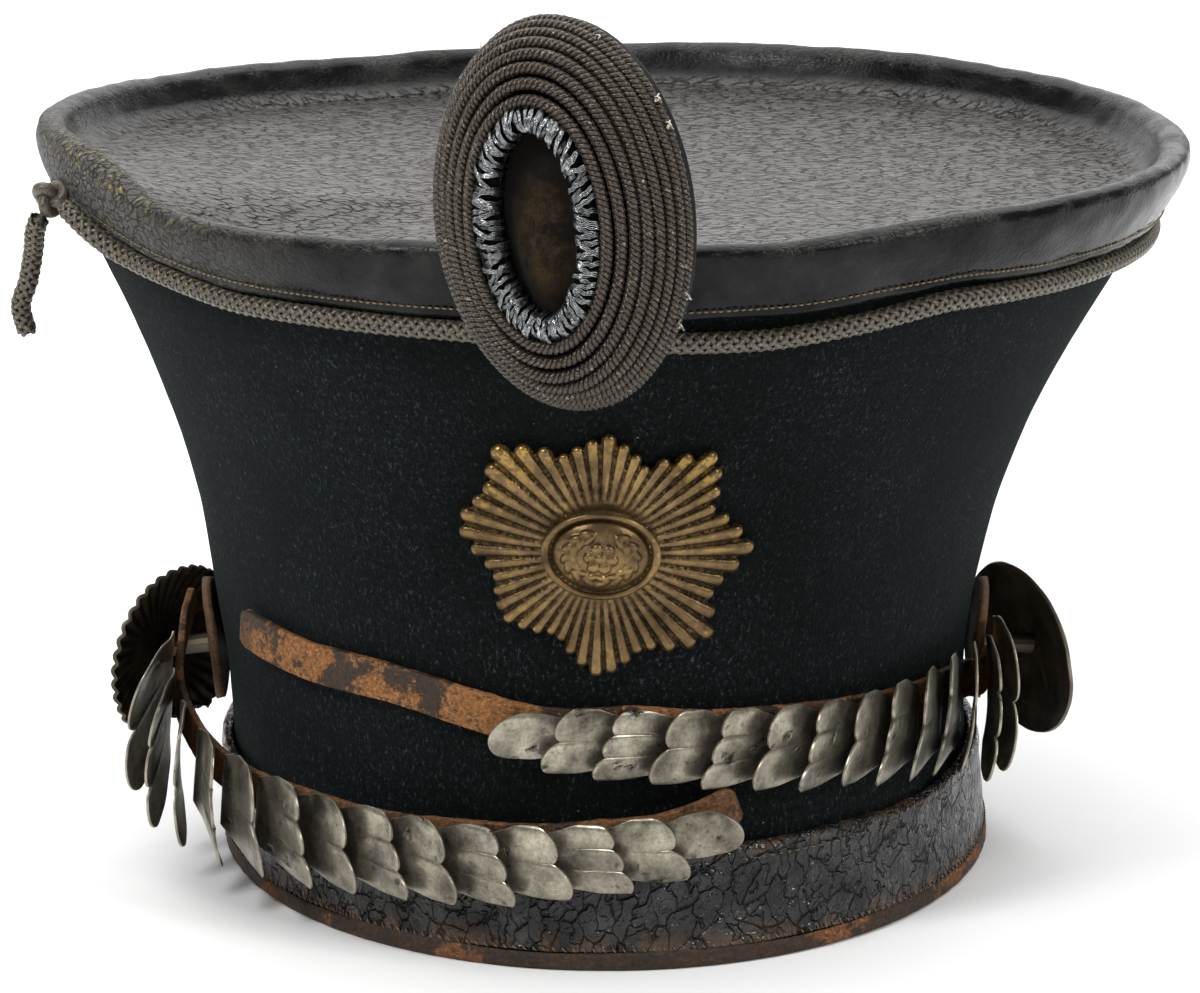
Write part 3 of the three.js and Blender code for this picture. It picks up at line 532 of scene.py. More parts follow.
def metal(name, bright, dull, dark, rough, dirt=0.5, stain="#2b2922", gilt_and_painted_glints="#c8982f"):
    """Old stamped sheet metal: tarnish settles in the hollows and thins on the high places, whose lightening
    is partly a painted highlight on the edges, and some of the first finish is left where the `wear`
    attribute says."""
    m, surface, at = new_finish(name, Metallic=0.82)
    obj = at.outputs["Object"]
    cloud = grain(m, obj, 0.12, 5.0, 0.6)
    specks = grain(m, obj, 1.4, 3.0, 0.6)
    high = node(m, "ShaderNodeNewGeometry").outputs["Pointiness"]
    colour = ramp(m, cloud, (0.32, dark), (0.5, dull), (0.68, bright))
    colour = mixed(m, "MULTIPLY", 0.35, colour, ramp(m, specks, (0.36, "#8a8a86"), (0.6, "#ffffff")))
    # Partly painted highlight: edges and ridges are lightened towards the bright tone, for worn polish and
    # for the light they catch.
    colour = mixed(m, "MIX", ramp(m, high, (0.51, 0.0), (0.58, 0.75)), colour, bright)
    colour = mixed(m, "MIX", ramp(m, high, (0.43, 0.85), (0.49, 0.0)), colour, stain)
    spots = ramp(m, grain(m, obj, 0.45, 4.0), (0.6, 0.0), (0.70, dirt))
    kept = product(m, node(m, "ShaderNodeAttribute", attribute_name="wear").outputs["Fac"],
                   ramp(m, grain(m, obj, 0.5, 4.0, 0.7), (0.48, 0.0), (0.54, 1.0)))
    # Dark pits on the scales, and on the badge the grooves between the rays, are painted near-black where
    # this attribute says.
    pits_and_dark_grooves = node(m, "ShaderNodeAttribute", attribute_name="pits_and_dark_grooves").outputs["Fac"]
    dark_pits_and_grooves = product(m, pits_and_dark_grooves, ramp(m, specks, (0.38, 1.0), (0.66, 0.3)))
    colour = mixed(m, "MIX", kept, mixed(m, "MIX", spots, colour, stain), gilt_and_painted_glints)
    into(m, surface, Base_Color=mixed(m, "MIX", dark_pits_and_grooves, colour, "#120e0a"),
         Roughness=ramp(m, cloud, (0.3, rough + 0.14), (0.7, rough)),
         Normal=bumped(m, dark_pits_and_grooves, -0.5, 0.8, bumped(m, cloud, 0.5, 0.5)))
    return m


def velvet_pile(c):
    """Worn cotton velvet: dark pile with the woven ground showing where it has rubbed away, and kept black
    towards the edges as painted shade.
    """
    m, surface, at = new_finish("Worn cotton velvet", Roughness=1.0, Sheen_Weight=0.12,
                                Specular_IOR_Level=0.1)
    obj = at.outputs["Object"]
    # Threads of the ground lie 0.45 mm apart each way.
    weave = [node(m, "ShaderNodeTexWave", {"Vector": obj, "Scale": 700.0, "Distortion": 3.0,
                  "Detail": 2.0}, bands_direction=way).outputs["Fac"] for way in ("X", "Z")]
    cross = mixed(m, "MULTIPLY", 0.6, weave[0], weave[1])
    wear = node(m, "ShaderNodeAttribute", attribute_name="wear").outputs["Fac"]
    # Rubbed-through ground in the middle; at the edges the mask is zero, so the pile stays black there as
    # painted shade.
    bald_and_edge_shade = product(m, wear, ramp(m, grain(m, obj, 0.16, 5.0, 0.75), (0.42, 0.0), (0.66, 1.0)))
    rubbed = mixed(m, "MULTIPLY", 0.5, "#4a3a20", cross)
    into(m, surface, Base_Color=mixed(m, "MIX", bald_and_edge_shade, c.velvet, rubbed),
         Normal=bumped(m, cross, 0.08, 0.5))
    return m


# ---------------------------------------------------------------- shared shaping
def loft(controls, t):
    """Smooth surface through control points: controls[column, k], read at t along k."""
    last = controls.shape[1] - 1
    i = np.clip(np.floor(t).astype(int), 0, last - 1)
    f = (t - i)[None, :, None]
    a, b, c, d = (controls[:, np.clip(i + s, 0, last)] for s in (-1, 0, 1, 2))
    return 0.5 * (2 * b + (c - a) * f + (2 * a - 5 * b + 4 * c - d) * f ** 2
                  + (3 * b - a - 3 * c + d) * f ** 3)


def lofted_sheet(columns, spread, section):
    """A sheet wrapped round the hat: section(angle) gives its control points at each angle."""
    angles = -180 + 360 * np.arange(columns + 1) / columns
    surface = loft(section(angles), np.asarray(spread, float))
    rows = len(spread) - 1

    def place(u, v):
        return surface[np.rint(u * columns).astype(int), np.rint(v * rows).astype(int)]
    return soft_sheet(columns, rows, place)


def paint(piece, name, values):
    """Stores a value for each point, which the finishes read."""
    layer = piece.data.attributes.new(name, "FLOAT", "POINT")
    layer.data.foreach_set("value", np.ascontiguousarray(np.clip(values, 0, 1), dtype=np.float32))


def crest(piece, sides):
    """Marks how far each point of a piece made of tubes faces away from what the tubes lie on; the thread
    finish turns this into painted shade on the tubes' sides.
    """
    turn = 2 * np.pi * (np.arange(len(piece.data.vertices)) % sides) / sides
    paint(piece, "crest", 0.5 + 0.5 * np.sin(turn))


def lumps(co, size_mm, seed, octaves=3):
    """Fractal noise at each point, about -1 to 1."""
    scale = 1 / (size_mm * MM)
    shift = Vector((seed * 7.3, seed * 3.1, seed * 5.7))
    return np.array([noise.fractal(Vector(p) * scale + shift, 1.0, 2.0, octaves) for p in co])


def roughen(piece, amount_mm, size_mm, seed, mask=1.0):
    co = points_of(piece)
    normals = np.empty(len(co) * 3)
    piece.data.vertices.foreach_get("normal", normals)
    move = lumps(co, size_mm, seed) * amount_mm * MM * mask
    move_points(piece, co + normals.reshape(-1, 3) * move[:, None])


def where(piece):
    """Angle, height and stand-off from the cloth of each point, in degrees and millimetres."""
    co = points_of(piece) / MM - SHIFT
    w, l = read(CLOTH, "z", co[:, 2], "w", 6), read(CLOTH, "z", co[:, 2], "l", 6)
    x = (co[:, 0] - read(CLOTH, "z", co[:, 2], "lean", 6)) / w
    y = co[:, 1] / l
    return np.degrees(np.arctan2(x, -y)), co[:, 2], (np.hypot(x, y) - 1) * (w + l) / 2


def stitches(path, away, pitch, length, width, seed, slant=0.0):
    """Short raised stitches along a line; each is a tapered tube sunk at both ends."""
    dice = random.Random(seed)
    count = int(length_of(path) / (pitch * MM))
    spots = even(path, count)
    along = unit(np.gradient(spots, axis=0))
    up = unit(away(spots))
    across = np.cross(along, up)
    lines, references = [], []
    arch = np.array([-0.35, 0.12, 0.3, 0.12, -0.35])[:, None] * width * MM
    for i in range(count):
        turn = slant + dice.uniform(-0.12, 0.12)
        way = along[i] * math.cos(turn) + across[i] * math.sin(turn)
        reach = np.linspace(-0.5, 0.5, 5)[:, None] * length * MM * dice.uniform(0.85, 1.1)
        lines.append(spots[i] + way * reach + up[i] * arch)
        references.append(np.broadcast_to(up[i], (5, 3)))
    taper = np.array([0.3, 0.9, 1.0, 0.9, 0.3]) * width * MM / 2
    return tube_mesh(lines, references, taper, taper, 6)


def outwards(points):
    """Direction away from the hat's middle, level."""
    flat = points - SHIFT * MM
    return unit(flat * np.array([1, 1, 0]))


# ---------------------------------------------------------------- settings
class ShakoColours(bpy.types.PropertyGroup):
    cloth_dark: bpy.props.StringProperty(
        name="Cloth dark", description="Deep tone of the cloth, sRGB hex", default="#0a0d0e")
    cloth_light: bpy.props.StringProperty(
        name="Cloth light", description="Light tone of the nap, sRGB hex", default="#101314")
    leather_dark: bpy.props.StringProperty(
        name="Crown dark", description="Deep tone of the crown leather, sRGB hex", default="#050505")
    leather_light: bpy.props.StringProperty(
        name="Crown light", description="Light tone of the crown leather, sRGB hex", default="#0c0b0b")
    leather_worn: bpy.props.StringProperty(
        name="Crown worn", description="Rubbed grey of the rim, sRGB hex", default="#6a6863")
    band_dark: bpy.props.StringProperty(
        name="Band", description="Black of the head band, sRGB hex", default="#161616")
    velvet: bpy.props.StringProperty(
        name="Velvet", description="Pile of the cockade's centre, sRGB hex", default="#0d0906")


class ShakoSizes(bpy.types.PropertyGroup):
    columns: bpy.props.IntProperty(
        name="Steps round", description="Points round the leather and cloth", default=360, min=60)
    cord_radius: bpy.props.FloatProperty(
        name="Cord radius", description="Radius of the crown cord", default=0.00225,
        subtype="DISTANCE", unit="LENGTH")
    stitch_pitch: bpy.props.FloatProperty(
        name="Stitch pitch", description="Distance between stitches, millimetres", default=1.5)
    rings: bpy.props.IntProperty(
        name="Cockade cords", description="Concentric cords of the cockade", default=8, min=3)
    flutes: bpy.props.IntProperty(
        name="Badge rays", description="Rays round the badge", default=48, min=8)
    scallops: bpy.props.IntProperty(
        name="Boss scallops", description="Scallops on the rim of the left boss", default=36, min=8)


# ---------------------------------------------------------------- soft pieces
class SHAKO_OT_body(bpy.types.Operator):
    """Makes the flared cloth body"""
    bl_idname = "shako.body"
    bl_label = "Cloth body"

    def execute(self, context):
        heights = [1.8, 10, 18, 25, 35, 44, 53, 62, 71, 80, 89, 98, 107, 116, 124, 132]

        def section(angles):
            top = crown(angles, "crest") - 7
            rows = [hat(angles, z, 0.0) for z in heights]
            rows += [hat(angles, crown(angles, "edge"), 0.0), hat(angles, top, 0.0)]
            return np.stack(rows, 1)
        sizes = context.scene.shako_sizes
        body = lofted_sheet(sizes.columns - 100, np.linspace(0, 17, 70), section)
        angle, z, _ = where(body)
        co = points_of(body)
        away = outwards(co)
        # A seam runs down under the cockade: one edge lies a little over the other.
        seam = np.exp(-((angle - 0.3) / 0.35) ** 2) * -0.5 + 0.25 / (1 + np.exp(-(angle - 0.3) * 4))
        seam *= np.clip((z - 112) / 8, 0, 1) * (np.abs(angle) < 8)
        move_points(body, co + away * (seam * MM)[:, None])
        roughen(body, 0.35, 45, 1)
        roughen(body, 0.06, 5, 2)
        modify(body, "SOLIDIFY", thickness=CLOTH_WALL * MM, offset=-1)
        settle(body, "Cloth_Body", wool_cloth(context.scene.shako_colours), "cloth", "body_cloth")
        return {"FINISHED"}


class SHAKO_OT_crown(bpy.types.Operator):
    """Makes the leather crown: stitched skirt, padded rim and sunk top"""
    bl_idname = "shako.crown"
    bl_label = "Leather crown"

    def execute(self, context):
        rim = [(2.5, -0.1, 0), (3.0, 0.7, 0), (2.75, 2.0, 0), (3.2, 4.0, 0), (3.5, -7.0, 1),
               (3.1, -3.4, 1), (2.1, -1.1, 1), (-0.5, 0.0, 1), (-3.1, -1.1, 1), (-4.1, -3.6, 1),
               (-5.3, -6.6, 1), (-7.6, -8.5, 1)]
        shares = [1.0, 0.93, 0.82, 0.66, 0.48, 0.3, 0.14, 0.0]

        def section(angles):
            crest, edge = crown(angles, "crest"), crown(angles, "edge")
            rows = [hat(angles, (crest if high else edge) + dz, out) for out, dz, high in rim]
            lip = hat(angles, 158.0, -11.0)
            middle = (np.array([2.0, 0, 0]) + SHIFT) * MM
            for s in shares:
                row = middle + (lip - middle) * s
                row[:, 2] = (149.5 + (crest - 9.0 - 149.5) * s * s) * MM
                rows.append(row)
            return np.stack(rows, 1)
        sizes = context.scene.shako_sizes
        spread = np.concatenate([np.linspace(0, 12, 48), np.linspace(12, 19, 34)[1:]])
        shell = lofted_sheet(sizes.columns, spread, section)
        angle, z, out = where(shell)
        depth = crown(angle, "crest") - z
        top = np.clip((-out - 5) / 4, 0, 1)
        edge = crown(angle, "edge")
        # The rim sags and swells a little, and puckers where the skirt is drawn in.
        roughen(shell, 0.5, 30, 3)
        roughen(shell, 0.22, 6, 4, 1 - 0.8 * top)
        co = points_of(shell)
        pucker = np.sin(np.radians(angle) * 170 + lumps(co, 25, 5) * 4)
        move = 0.10 * pucker * np.exp(-((z - edge - 2.5) / 3) ** 2)
        move_points(shell, co + outwards(co) * (move * MM)[:, None])
        left = np.exp(-((angle + 66) / 22) ** 2)
        paint(shell, "top", top)
        rubbed = lumps(points_of(shell), 7, 12)
        paint(shell, "wear", (0.75 * left + 0.18 * np.exp(-((depth - 1) / 1.6) ** 2) * (rubbed > 0))
              * (1 - top))
        paint(shell, "ochre", np.exp(-((depth - 1.5) / 2.5) ** 2) * np.exp(-((angle + 60) / 14) ** 2)
              * (1 - top))
        modify(shell, "SOLIDIFY", thickness=2.4 * MM, offset=-1)
        settle(shell, "Leather_Crown", crown_leather(context.scene.shako_colours),
               "crown_leather", "crown_leather")
        angles = np.linspace(-180, 180, 1441)[:-1]
        verts, faces = stitches(hat(angles, crown(angles, "edge") + 2.0, 3.0), outwards,
                                sizes.stitch_pitch, 1.15, 0.42, 11)
        row = mesh_piece("Crown_Stitches", verts, faces)
        crest(row, 6)
        settle(row, "Crown_Stitches", thread("Waxed linen thread", "#4a3d22", "#8a7448", "#b79f6a"),
               "crown_leather")
        return {"FINISHED"}


class SHAKO_OT_band(bpy.types.Operator):
    """Makes the leather head band with its stitching, and the binding round its foot"""
    bl_idname = "shako.band"
    bl_label = "Head band and binding"

    def execute(self, context):
        columns = context.scene.shako_sizes.columns
        profile = [(0.5, 25.1), (1.2, 25.4), (2.1, 25.2), (2.8, 24.3), (2.9, 22.4), (2.7, 20.5),
                   (2.8, 15), (2.8, 9), (2.7, 6), (2.8, 4.2), (2.3, 3.9)]

        def band_section(angles):
            wave = 0.35 * np.sin(np.radians(angles * 5)) + 0.25 * np.sin(np.radians(angles * 11 + 40))
            rows = [hat(angles, z + wave * (z > 12), out) for out, z in reversed(profile)]
            return np.stack(rows, 1)
        band = lofted_sheet(columns + 60, np.linspace(0, 10, 40), band_section)
        roughen(band, 0.30, 16, 6)
        roughen(band, 0.10, 2.2, 7)
        _, z, _ = where(band)
        paint(band, "wear", np.exp(-((z - 25) / 1.4) ** 2) * 0.45 + np.exp(-((z - 3) / 3.5) ** 2) * 0.7)
        modify(band, "SOLIDIFY", thickness=2.0 * MM, offset=-1)
        settle(band, "Head_Band", band_leather(context.scene.shako_colours), "band_leather",
               "head_band")
        foot = [(-4.5, 9), (-4.6, 6), (-4.5, 3), (-4.2, 0.9), (-3.4, 0.05), (-1, 0.0), (1.4, 0.0),
                (2.6, 0.25), (3.2, 1.1), (3.2, 2.4), (3.1, 3.4), (2.7, 4.0)]

        def foot_section(angles):
            lift = 0.25 * np.sin(np.radians(angles * 9))
            rows = [hat(angles, z + (lift if z > 3 and out > 0 else 0), out) for out, z in foot]
            return np.stack(rows, 1)
        binding = lofted_sheet(columns, np.linspace(0, 11, 34), foot_section)
        _, z, out = where(binding)
        roughen(binding, 0.14, 3, 8, z > 0.4)
        paint(binding, "wear", 0.1 + 0.8 * (lumps(points_of(binding), 30, 9) > 0.2))
        modify(binding, "SOLIDIFY", thickness=1.0 * MM, offset=-1)
        settle(binding, "Edge_Binding", brown_leather("Brown binding leather", "#16120e", "#3a2e23",
               "#7c4f30"), "binding_leather", "edge_binding")
        angles = np.linspace(-180, 180, 1081)[:-1]
        for name, height, stand, slant in (("Band_Stitches", 22.3, 2.8, 0.0),
                                           ("Binding_Stitches", 4.6, 3.0, 0.9)):
            verts, faces = stitches(hat(angles, height, stand), outwards, 2.1, 1.3, 0.4, 12, slant)
            row = mesh_piece(name, verts, faces)
            crest(row, 6)
            settle(row, name, thread(name.replace("_", " ") + " thread", "#3b3122", "#6d5c3c",
                   "#9a8456"), "band_leather")
        return {"FINISHED"}


class SHAKO_OT_cord(bpy.types.Operator):
    """Makes the braided crown cord, its knot and its free end"""
    bl_idname = "shako.cord"
    bl_label = "Crown cord"

    def execute(self, context):
        radius = context.scene.shako_sizes.cord_radius
        silk = thread("Braided silk cord with painted glints", "#100e0b", "#6b6351", "#c2ab74", 0.10, rough=0.36)
        up = np.array([0.0, 0.0, 1.0])

        def braided(spine, name, reference):
            lines, references = braid_lines(spine, reference, radius * 0.77, 5, 1.15 * MM,
                                            radius * 0.09)
            verts, faces = tube_mesh(lines, references, 0.64 * MM, 0.38 * MM, 5)
            core_verts, core_faces = tube_mesh([spine], [np.broadcast_to(reference, spine.shape)],
                                               radius * 0.66, radius * 0.66, 8)
            faces = faces + [[i + len(verts) for i in f] for f in core_faces]
            piece = mesh_piece(name, np.vstack([verts, core_verts]), faces)
            crest(piece, 5)
            return piece
        angles = np.arange(-65.5, 289.6, 0.5)
        route = hat(angles, read(CORD, "a", angles, "z", 2), read(CORD, "a", angles, "out", 1))
        spine = even(route, int(length_of(route) / 0.00058))
        ring = braided(spine, "Crown_Cord", up)
        settle(ring, "Crown_Cord", silk, "cord", "crown_cord")

        t = np.linspace(0, 2 * np.pi, 121)[:-1]
        loop = np.stack([np.sin(t) + 2 * np.sin(2 * t), -1.4 * np.sin(3 * t),
                         np.cos(t) - 2 * np.cos(2 * t)], 1) * 1.05 * MM
        centre = hat(-68.2, 154.4, 6.9)
        verts, faces = tube_mesh([centre + loop], [np.broadcast_to([0.3, 1.0, 0.2], loop.shape)],
                                 1.35 * MM, 1.35 * MM, 10, closed=True)
        knot = mesh_piece("Cord_Knot", verts, faces)
        # The knot's tube lies on no surface, so its painted shade is set evenly, close to full light.
        paint(knot, "crest", np.full(len(knot.data.vertices), 0.75))
        settle(knot, "Cord_Knot", silk, "cord", "cord_knot")

        end = (smooth_curve(CORD_END, 90) + SHIFT) * MM
        tail = braided(end, "Cord_End", np.array([0.0, 1.0, 0.0]))
        settle(tail, "Cord_End", silk, "cord", "cord_end")
        return {"FINISHED"}


def cockade_frame():
    """Maps the cockade's own millimetres (across, up, out of its face) into place."""
    yaw, roll = math.radians(COCKADE_YAW), math.radians(COCKADE_ROLL)
    facing = Vector((math.sin(yaw), -math.cos(yaw), 0))
    up = Matrix.Rotation(roll, 3, facing) @ Vector((0, 0, 1))
    side = up.cross(facing)
    basis = np.array([side, up, facing])
    origin = np.array(COCKADE_AT) + SHIFT
    return lambda p: (np.asarray(p) @ basis + origin) * MM, basis


class SHAKO_OT_cockade(bpy.types.Operator):
    """Makes the oval cockade: base, twisted cords, wire loops and velvet"""
    bl_idname = "shako.cockade"
    bl_label = "Cockade"

    def execute(self, context):
        sizes = context.scene.shako_sizes
        place, basis = cockade_frame()
        dice = random.Random(5)
        colours = context.scene.shako_colours

        # Base disc: a circle made oval, extruded and rounded, then carried into place.
        deselect()
        bpy.ops.mesh.primitive_circle_add(vertices=72, radius=1, fill_type="NGON")
        base = bpy.context.object
        bpy.ops.object.mode_set(mode="EDIT")
        bpy.ops.mesh.select_all(action="SELECT")
        bpy.ops.transform.resize(value=(26.0 * MM, 38.0 * MM, 1.0))
        bpy.ops.mesh.extrude_region_move(TRANSFORM_OT_translate={"value": (0, 0, 3 * MM)})
        bpy.ops.mesh.select_all(action="SELECT")
        bpy.ops.mesh.normals_make_consistent(inside=False)
        bpy.ops.mesh.bevel(offset=0.7 * MM, segments=3, affect="EDGES")
        bpy.ops.object.mode_set(mode="OBJECT")
        move_points(base, place(points_of(base) / MM))
        modify(base, "TRIANGULATE")
        felt = thread("Black wool felt", "#0a0909", "#181614", "#242120")
        settle(base, "Cockade_Base", felt, "velvet", "cockade_back")

        # Concentric cords, each of three plies, lying side by side over the dome.
        verts, faces = [], []
        start = 0
        turn_at = np.linspace(0, 2 * np.pi, 721)[:-1]
        inset, depth = 0.0, COIL_HALF[2]
        for ring, slope in enumerate(np.interp(np.linspace(0, 7, sizes.rings), range(8), DOME_SLOPES)):
            tilt, bed = math.radians(slope), CORD_BED * 8 / sizes.rings
            middle = (inset + bed / 2 * math.cos(tilt) + 1.3 * math.sin(tilt),
                      depth + bed / 2 * math.sin(tilt) - 1.3 * math.cos(tilt))
            wave = 0.25 * np.sin(turn_at * 2 + ring) + 0.15 * np.sin(turn_at * 5 + ring * 2.1)
            wide, high = COIL_HALF[0] - middle[0], COIL_HALF[1] - 1.2 * middle[0]
            path = np.stack([(wide + wave * 0.3) * np.cos(turn_at), (high + wave * 0.3) * np.sin(turn_at),
                             middle[1] + wave], 1)
            path = place(path)
            length = length_of(np.vstack([path, path[:1]]))
            turns = round(length / (3.4 * MM))
            spine = even(path, turns * 8, closed=True)
            lines, references = twist_lines(spine, basis[2], 3, turns, 0.74 * MM, True)
            ring_verts, ring_faces = tube_mesh(lines, references, 0.60 * MM, 0.58 * MM, 6, closed=True)
            verts.append(ring_verts)
            faces += [[i + start for i in f] for f in ring_faces]
            start += len(ring_verts)
            inset, depth = inset + bed * math.cos(tilt), depth + bed * math.sin(tilt)
        coil = mesh_piece("Cockade_Cords", np.vstack(verts), faces)
        crest(coil, 6)
        settle(coil, "Cockade_Cords", thread("Twisted silk and wire cord", "#0d0a07", "#50463a", "#b0a490",
               0.10, metallic=0.45, rough=0.27), "cord", "cockade_coil")

        # A felt ring carries loops of crinkled wire, which dive down to the velvet at its inside.
        ring_path = place(np.stack([10.9 * np.cos(turn_at[::5]), 20.4 * np.sin(turn_at[::5]),
                                    np.full(144, 16.0)], 1))
        verts, faces = tube_mesh([ring_path], [np.broadcast_to(basis[2], ring_path.shape)],
                                 2.3 * MM, 2.6 * MM, 12, closed=True)
        settle(mesh_piece("Cockade_Core", verts, faces), "Cockade_Core", felt, "velvet")
        lines, references = [], []
        for i in range(116):
            # Wires stand in threes, each three crossing its neighbours a little.
            t, lean = 2 * np.pi * (i + dice.uniform(-0.3, 0.3)) / 116, dice.uniform(-0.2, 0.2)
            reach, high = dice.uniform(-0.35, 0.45), dice.uniform(-0.9, 0.5)
            for beside in (-0.017, 0.0, 0.017):
                steps = np.linspace(0, 1, 9)
                across = np.interp(steps, (0, 0.55, 0.85, 1), (2.7, -1.0, -2.6, -2.8)) + reach
                zigzag = 0.13 * np.where(np.arange(9) % 2, 1, -1) * dice.uniform(0.4, 1.3)
                angle = t + beside + lean * (steps - 0.4) + zigzag / 16
                lift = np.interp(steps, (0, 0.2, 0.5, 0.75, 1), (17.0, 18.9, 19.6, 18.9, 14.6))
                lift = lift + high + 0.15 * np.sin(steps * 20 + i)
                lines.append(place(np.stack([(10.9 + across) * np.cos(angle),
                                             (20.4 + across) * np.sin(angle), lift], 1)))
                references.append(np.broadcast_to(basis[2], (9, 3)))
        verts, faces = tube_mesh(lines, references, 0.16 * MM, 0.15 * MM, 5)
        loops = mesh_piece("Cockade_Bullion", verts, faces)
        crest(loops, 5)
        settle(loops, "Cockade_Bullion", thread("Crinkled silver wire", "#3b3b3b", "#9a9c9e",
               "#f2f4f6", 0.2, metallic=0.9, rough=0.22, sheen=0.0), "bullion", "cockade_bullion")

        def pad(u, v):
            t, r = u * 2 * np.pi, np.sqrt(v)
            rise = 12.0 + 2.3 * (1 - r ** 2) + 0.25 * np.sin(3 * t) * r
            return place(np.stack([8.6 * r * np.cos(t), 18.1 * r * np.sin(t), rise], 1))
        velvet = soft_sheet(72, 24, pad)
        roughen(velvet, 0.18, 3, 21)
        local = (points_of(velvet) / MM - np.array(COCKADE_AT) - SHIFT) @ basis.T
        # Wear and painted shade: the ground shows through in the middle, and the mask fades out towards the
        # edges, soonest at the top, leaving them black as painted shade under the cords.
        bald_and_edge_shade = 1 - np.hypot(local[:, 0] / 8.6, (local[:, 1] + 2) / 17.0)
        paint(velvet, "wear", np.clip(bald_and_edge_shade * 1.7 - 0.15, 0, 1))
        modify(velvet, "SOLIDIFY", thickness=1.2 * MM, offset=0)
        settle(velvet, "Cockade_Velvet", velvet_pile(colours), "velvet", "cockade_velvet")

        # Loose ends of pale thread round the edge.
        lines, references = [], []
        for x, y, z, reach, ply in ((21.6, 22, 5, 3.5, 4), (23.2, 17, 5, 4, 3), (23.4, -16, 5, 3.5, 3),
                                    (21.6, -22, 5, 3.5, 3), (-11.5, 34, 5, 3.5, 4),
                                    (-17.0, 28, 5, 3, 2), (11.0, 34.5, 6, 3, 2)):
            for _ in range(ply):
                s = np.linspace(0, 1, 12)
                curl = dice.uniform(3.2, 5.4)
                at = dice.uniform(-0.6, 0.6)
                lines.append(place(np.stack([
                    x + reach * 0.5 * s * math.copysign(1, x) + 0.9 * np.sin(curl * s + at),
                    y + reach * 0.35 * np.cos(curl * s + at) * s, z + 1.6 * np.sin(np.pi * s)], 1)))
                references.append(np.broadcast_to(basis[1], (12, 3)))
        verts, faces = tube_mesh(lines, references, 0.2 * MM, 0.2 * MM, 5)
        ends = mesh_piece("Cockade_Loose_Threads", verts, faces)
        crest(ends, 5)
        settle(ends, "Cockade_Loose_Threads", thread("Undyed linen thread", "#a39a84", "#d8cfb8",
               "#efe9da", 0.3, rough=0.9), "cord")
        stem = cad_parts["cockade_stem"]
        stem.data.materials.clear()
        stem.data.materials.append(metal("Dull iron wire", "#5c5a55", "#45433f", "#2c2a27", 0.5))
        return {"FINISHED"}


# ---------------------------------------------------------------- metal pieces
def nudge(piece, chosen, offset=None, scale=None):
    """Selects points by number and slides or resizes them in edit mode."""
    deselect()
    pick(piece)
    bpy.ops.object.mode_set(mode="EDIT")
    bpy.ops.mesh.select_all(action="DESELECT")
    bpy.ops.object.mode_set(mode="OBJECT")
    for i in chosen:
        piece.data.vertices[i].select = True
    bpy.ops.object.mode_set(mode="EDIT")
    if offset is not None:
        bpy.ops.transform.translate(value=offset)
    if scale is not None:
        bpy.ops.transform.resize(value=scale, center_override=(0, 0, 0))
    bpy.ops.object.mode_set(mode="OBJECT")


def scale_pattern(lobes):
    """One scale lying flat: 20 mm wide, 20 mm long along +Y, its round lobes at the far end."""
    per_lobe, rows = (12 if lobes == 1 else 8), 8
    across = per_lobe * lobes
    deselect()
    bpy.ops.mesh.primitive_grid_add(x_subdivisions=across, y_subdivisions=rows, size=20 * MM,
                                    location=(0, 10 * MM, 0))
    piece = bpy.context.object
    bpy.ops.object.transform_apply(location=True, rotation=False, scale=False)
    reach = 10 / lobes
    bend = {}
    for i in range(across + 1):
        # Columns crowd towards the cusps between lobes, so that each lobe ends in a half circle.
        centre = -10 + reach * (2 * min(i // per_lobe, lobes - 1) + 1)
        turn = math.pi * ((i - per_lobe * min(i // per_lobe, lobes - 1)) / per_lobe - 0.5)
        bend[i] = turn
        column = [i + (across + 1) * j for j in range(rows + 1)]
        stretch = (20 - 0.72 * reach * (1 - math.cos(turn))) / 20
        nudge(piece, column, offset=((centre + reach * math.sin(turn) - (-10 + 20 * i / across)) * MM, 0, 0),
              scale=(1, stretch, 1))
    for row in range(3, rows + 1):
        for wide, rise in ((1.25, 0.07), (0.8, 0.05)):
            nudge(piece, [i + (across + 1) * j for j in range(row, rows + 1) for i in bend
                          if abs(bend[i]) < wide], offset=(0, 0, rise * MM))
    for j, narrow in enumerate((0.74, 0.79, 0.84, 0.89, 0.95)):
        nudge(piece, [i + (across + 1) * j for i in range(across + 1)], scale=(narrow, 1, 1))
    return piece


def strap_rise(side, distances):
    """How far a strap half sits above the middle of its scales, in millimetres."""
    number = np.clip(14 - (distances - START[side]) / PITCH[side], 1, 14)
    width = read(SCALES, "n", number, "width")
    ramp = np.clip(np.minimum(distances / 25, (LEVEL[side] - distances) / 18), 0, 1)
    return np.minimum(0.36 * width - 2.2, STRAP_RISE_MOST) * ramp


def strap_frames(side, distances):
    """Place, direction, outward and across axes of a strap half at distances from its boss."""
    rows = ROUTES[side]
    line = smooth_curve([(hat(a, z, o) / MM - SHIFT) for a, z, o in rows], 1200)
    step = np.linspace(0, length_of(line), len(line))
    distances = np.clip(distances, 0, step[-1])
    at = np.stack([np.interp(distances, step, line[:, k]) for k in range(3)], 1)
    tangent = np.gradient(line, axis=0)
    along = unit(np.stack([np.interp(distances, step, tangent[:, k]) for k in range(3)], 1))
    lean = read(CLOTH, "z", at[:, 2], "lean")
    angle = np.arctan2(at[:, 0] - lean, -at[:, 1] * 0.86)
    w, l = read(CLOTH, "z", at[:, 2], "w"), read(CLOTH, "z", at[:, 2], "l")
    out = unit(np.stack([np.sin(angle) / w, -np.cos(angle) / l, 0 * w], 1))
    out = unit(out - along * (out * along).sum(1, keepdims=True))
    across = unit(np.cross(out, along))
    return at, along, out, across, step[-1]


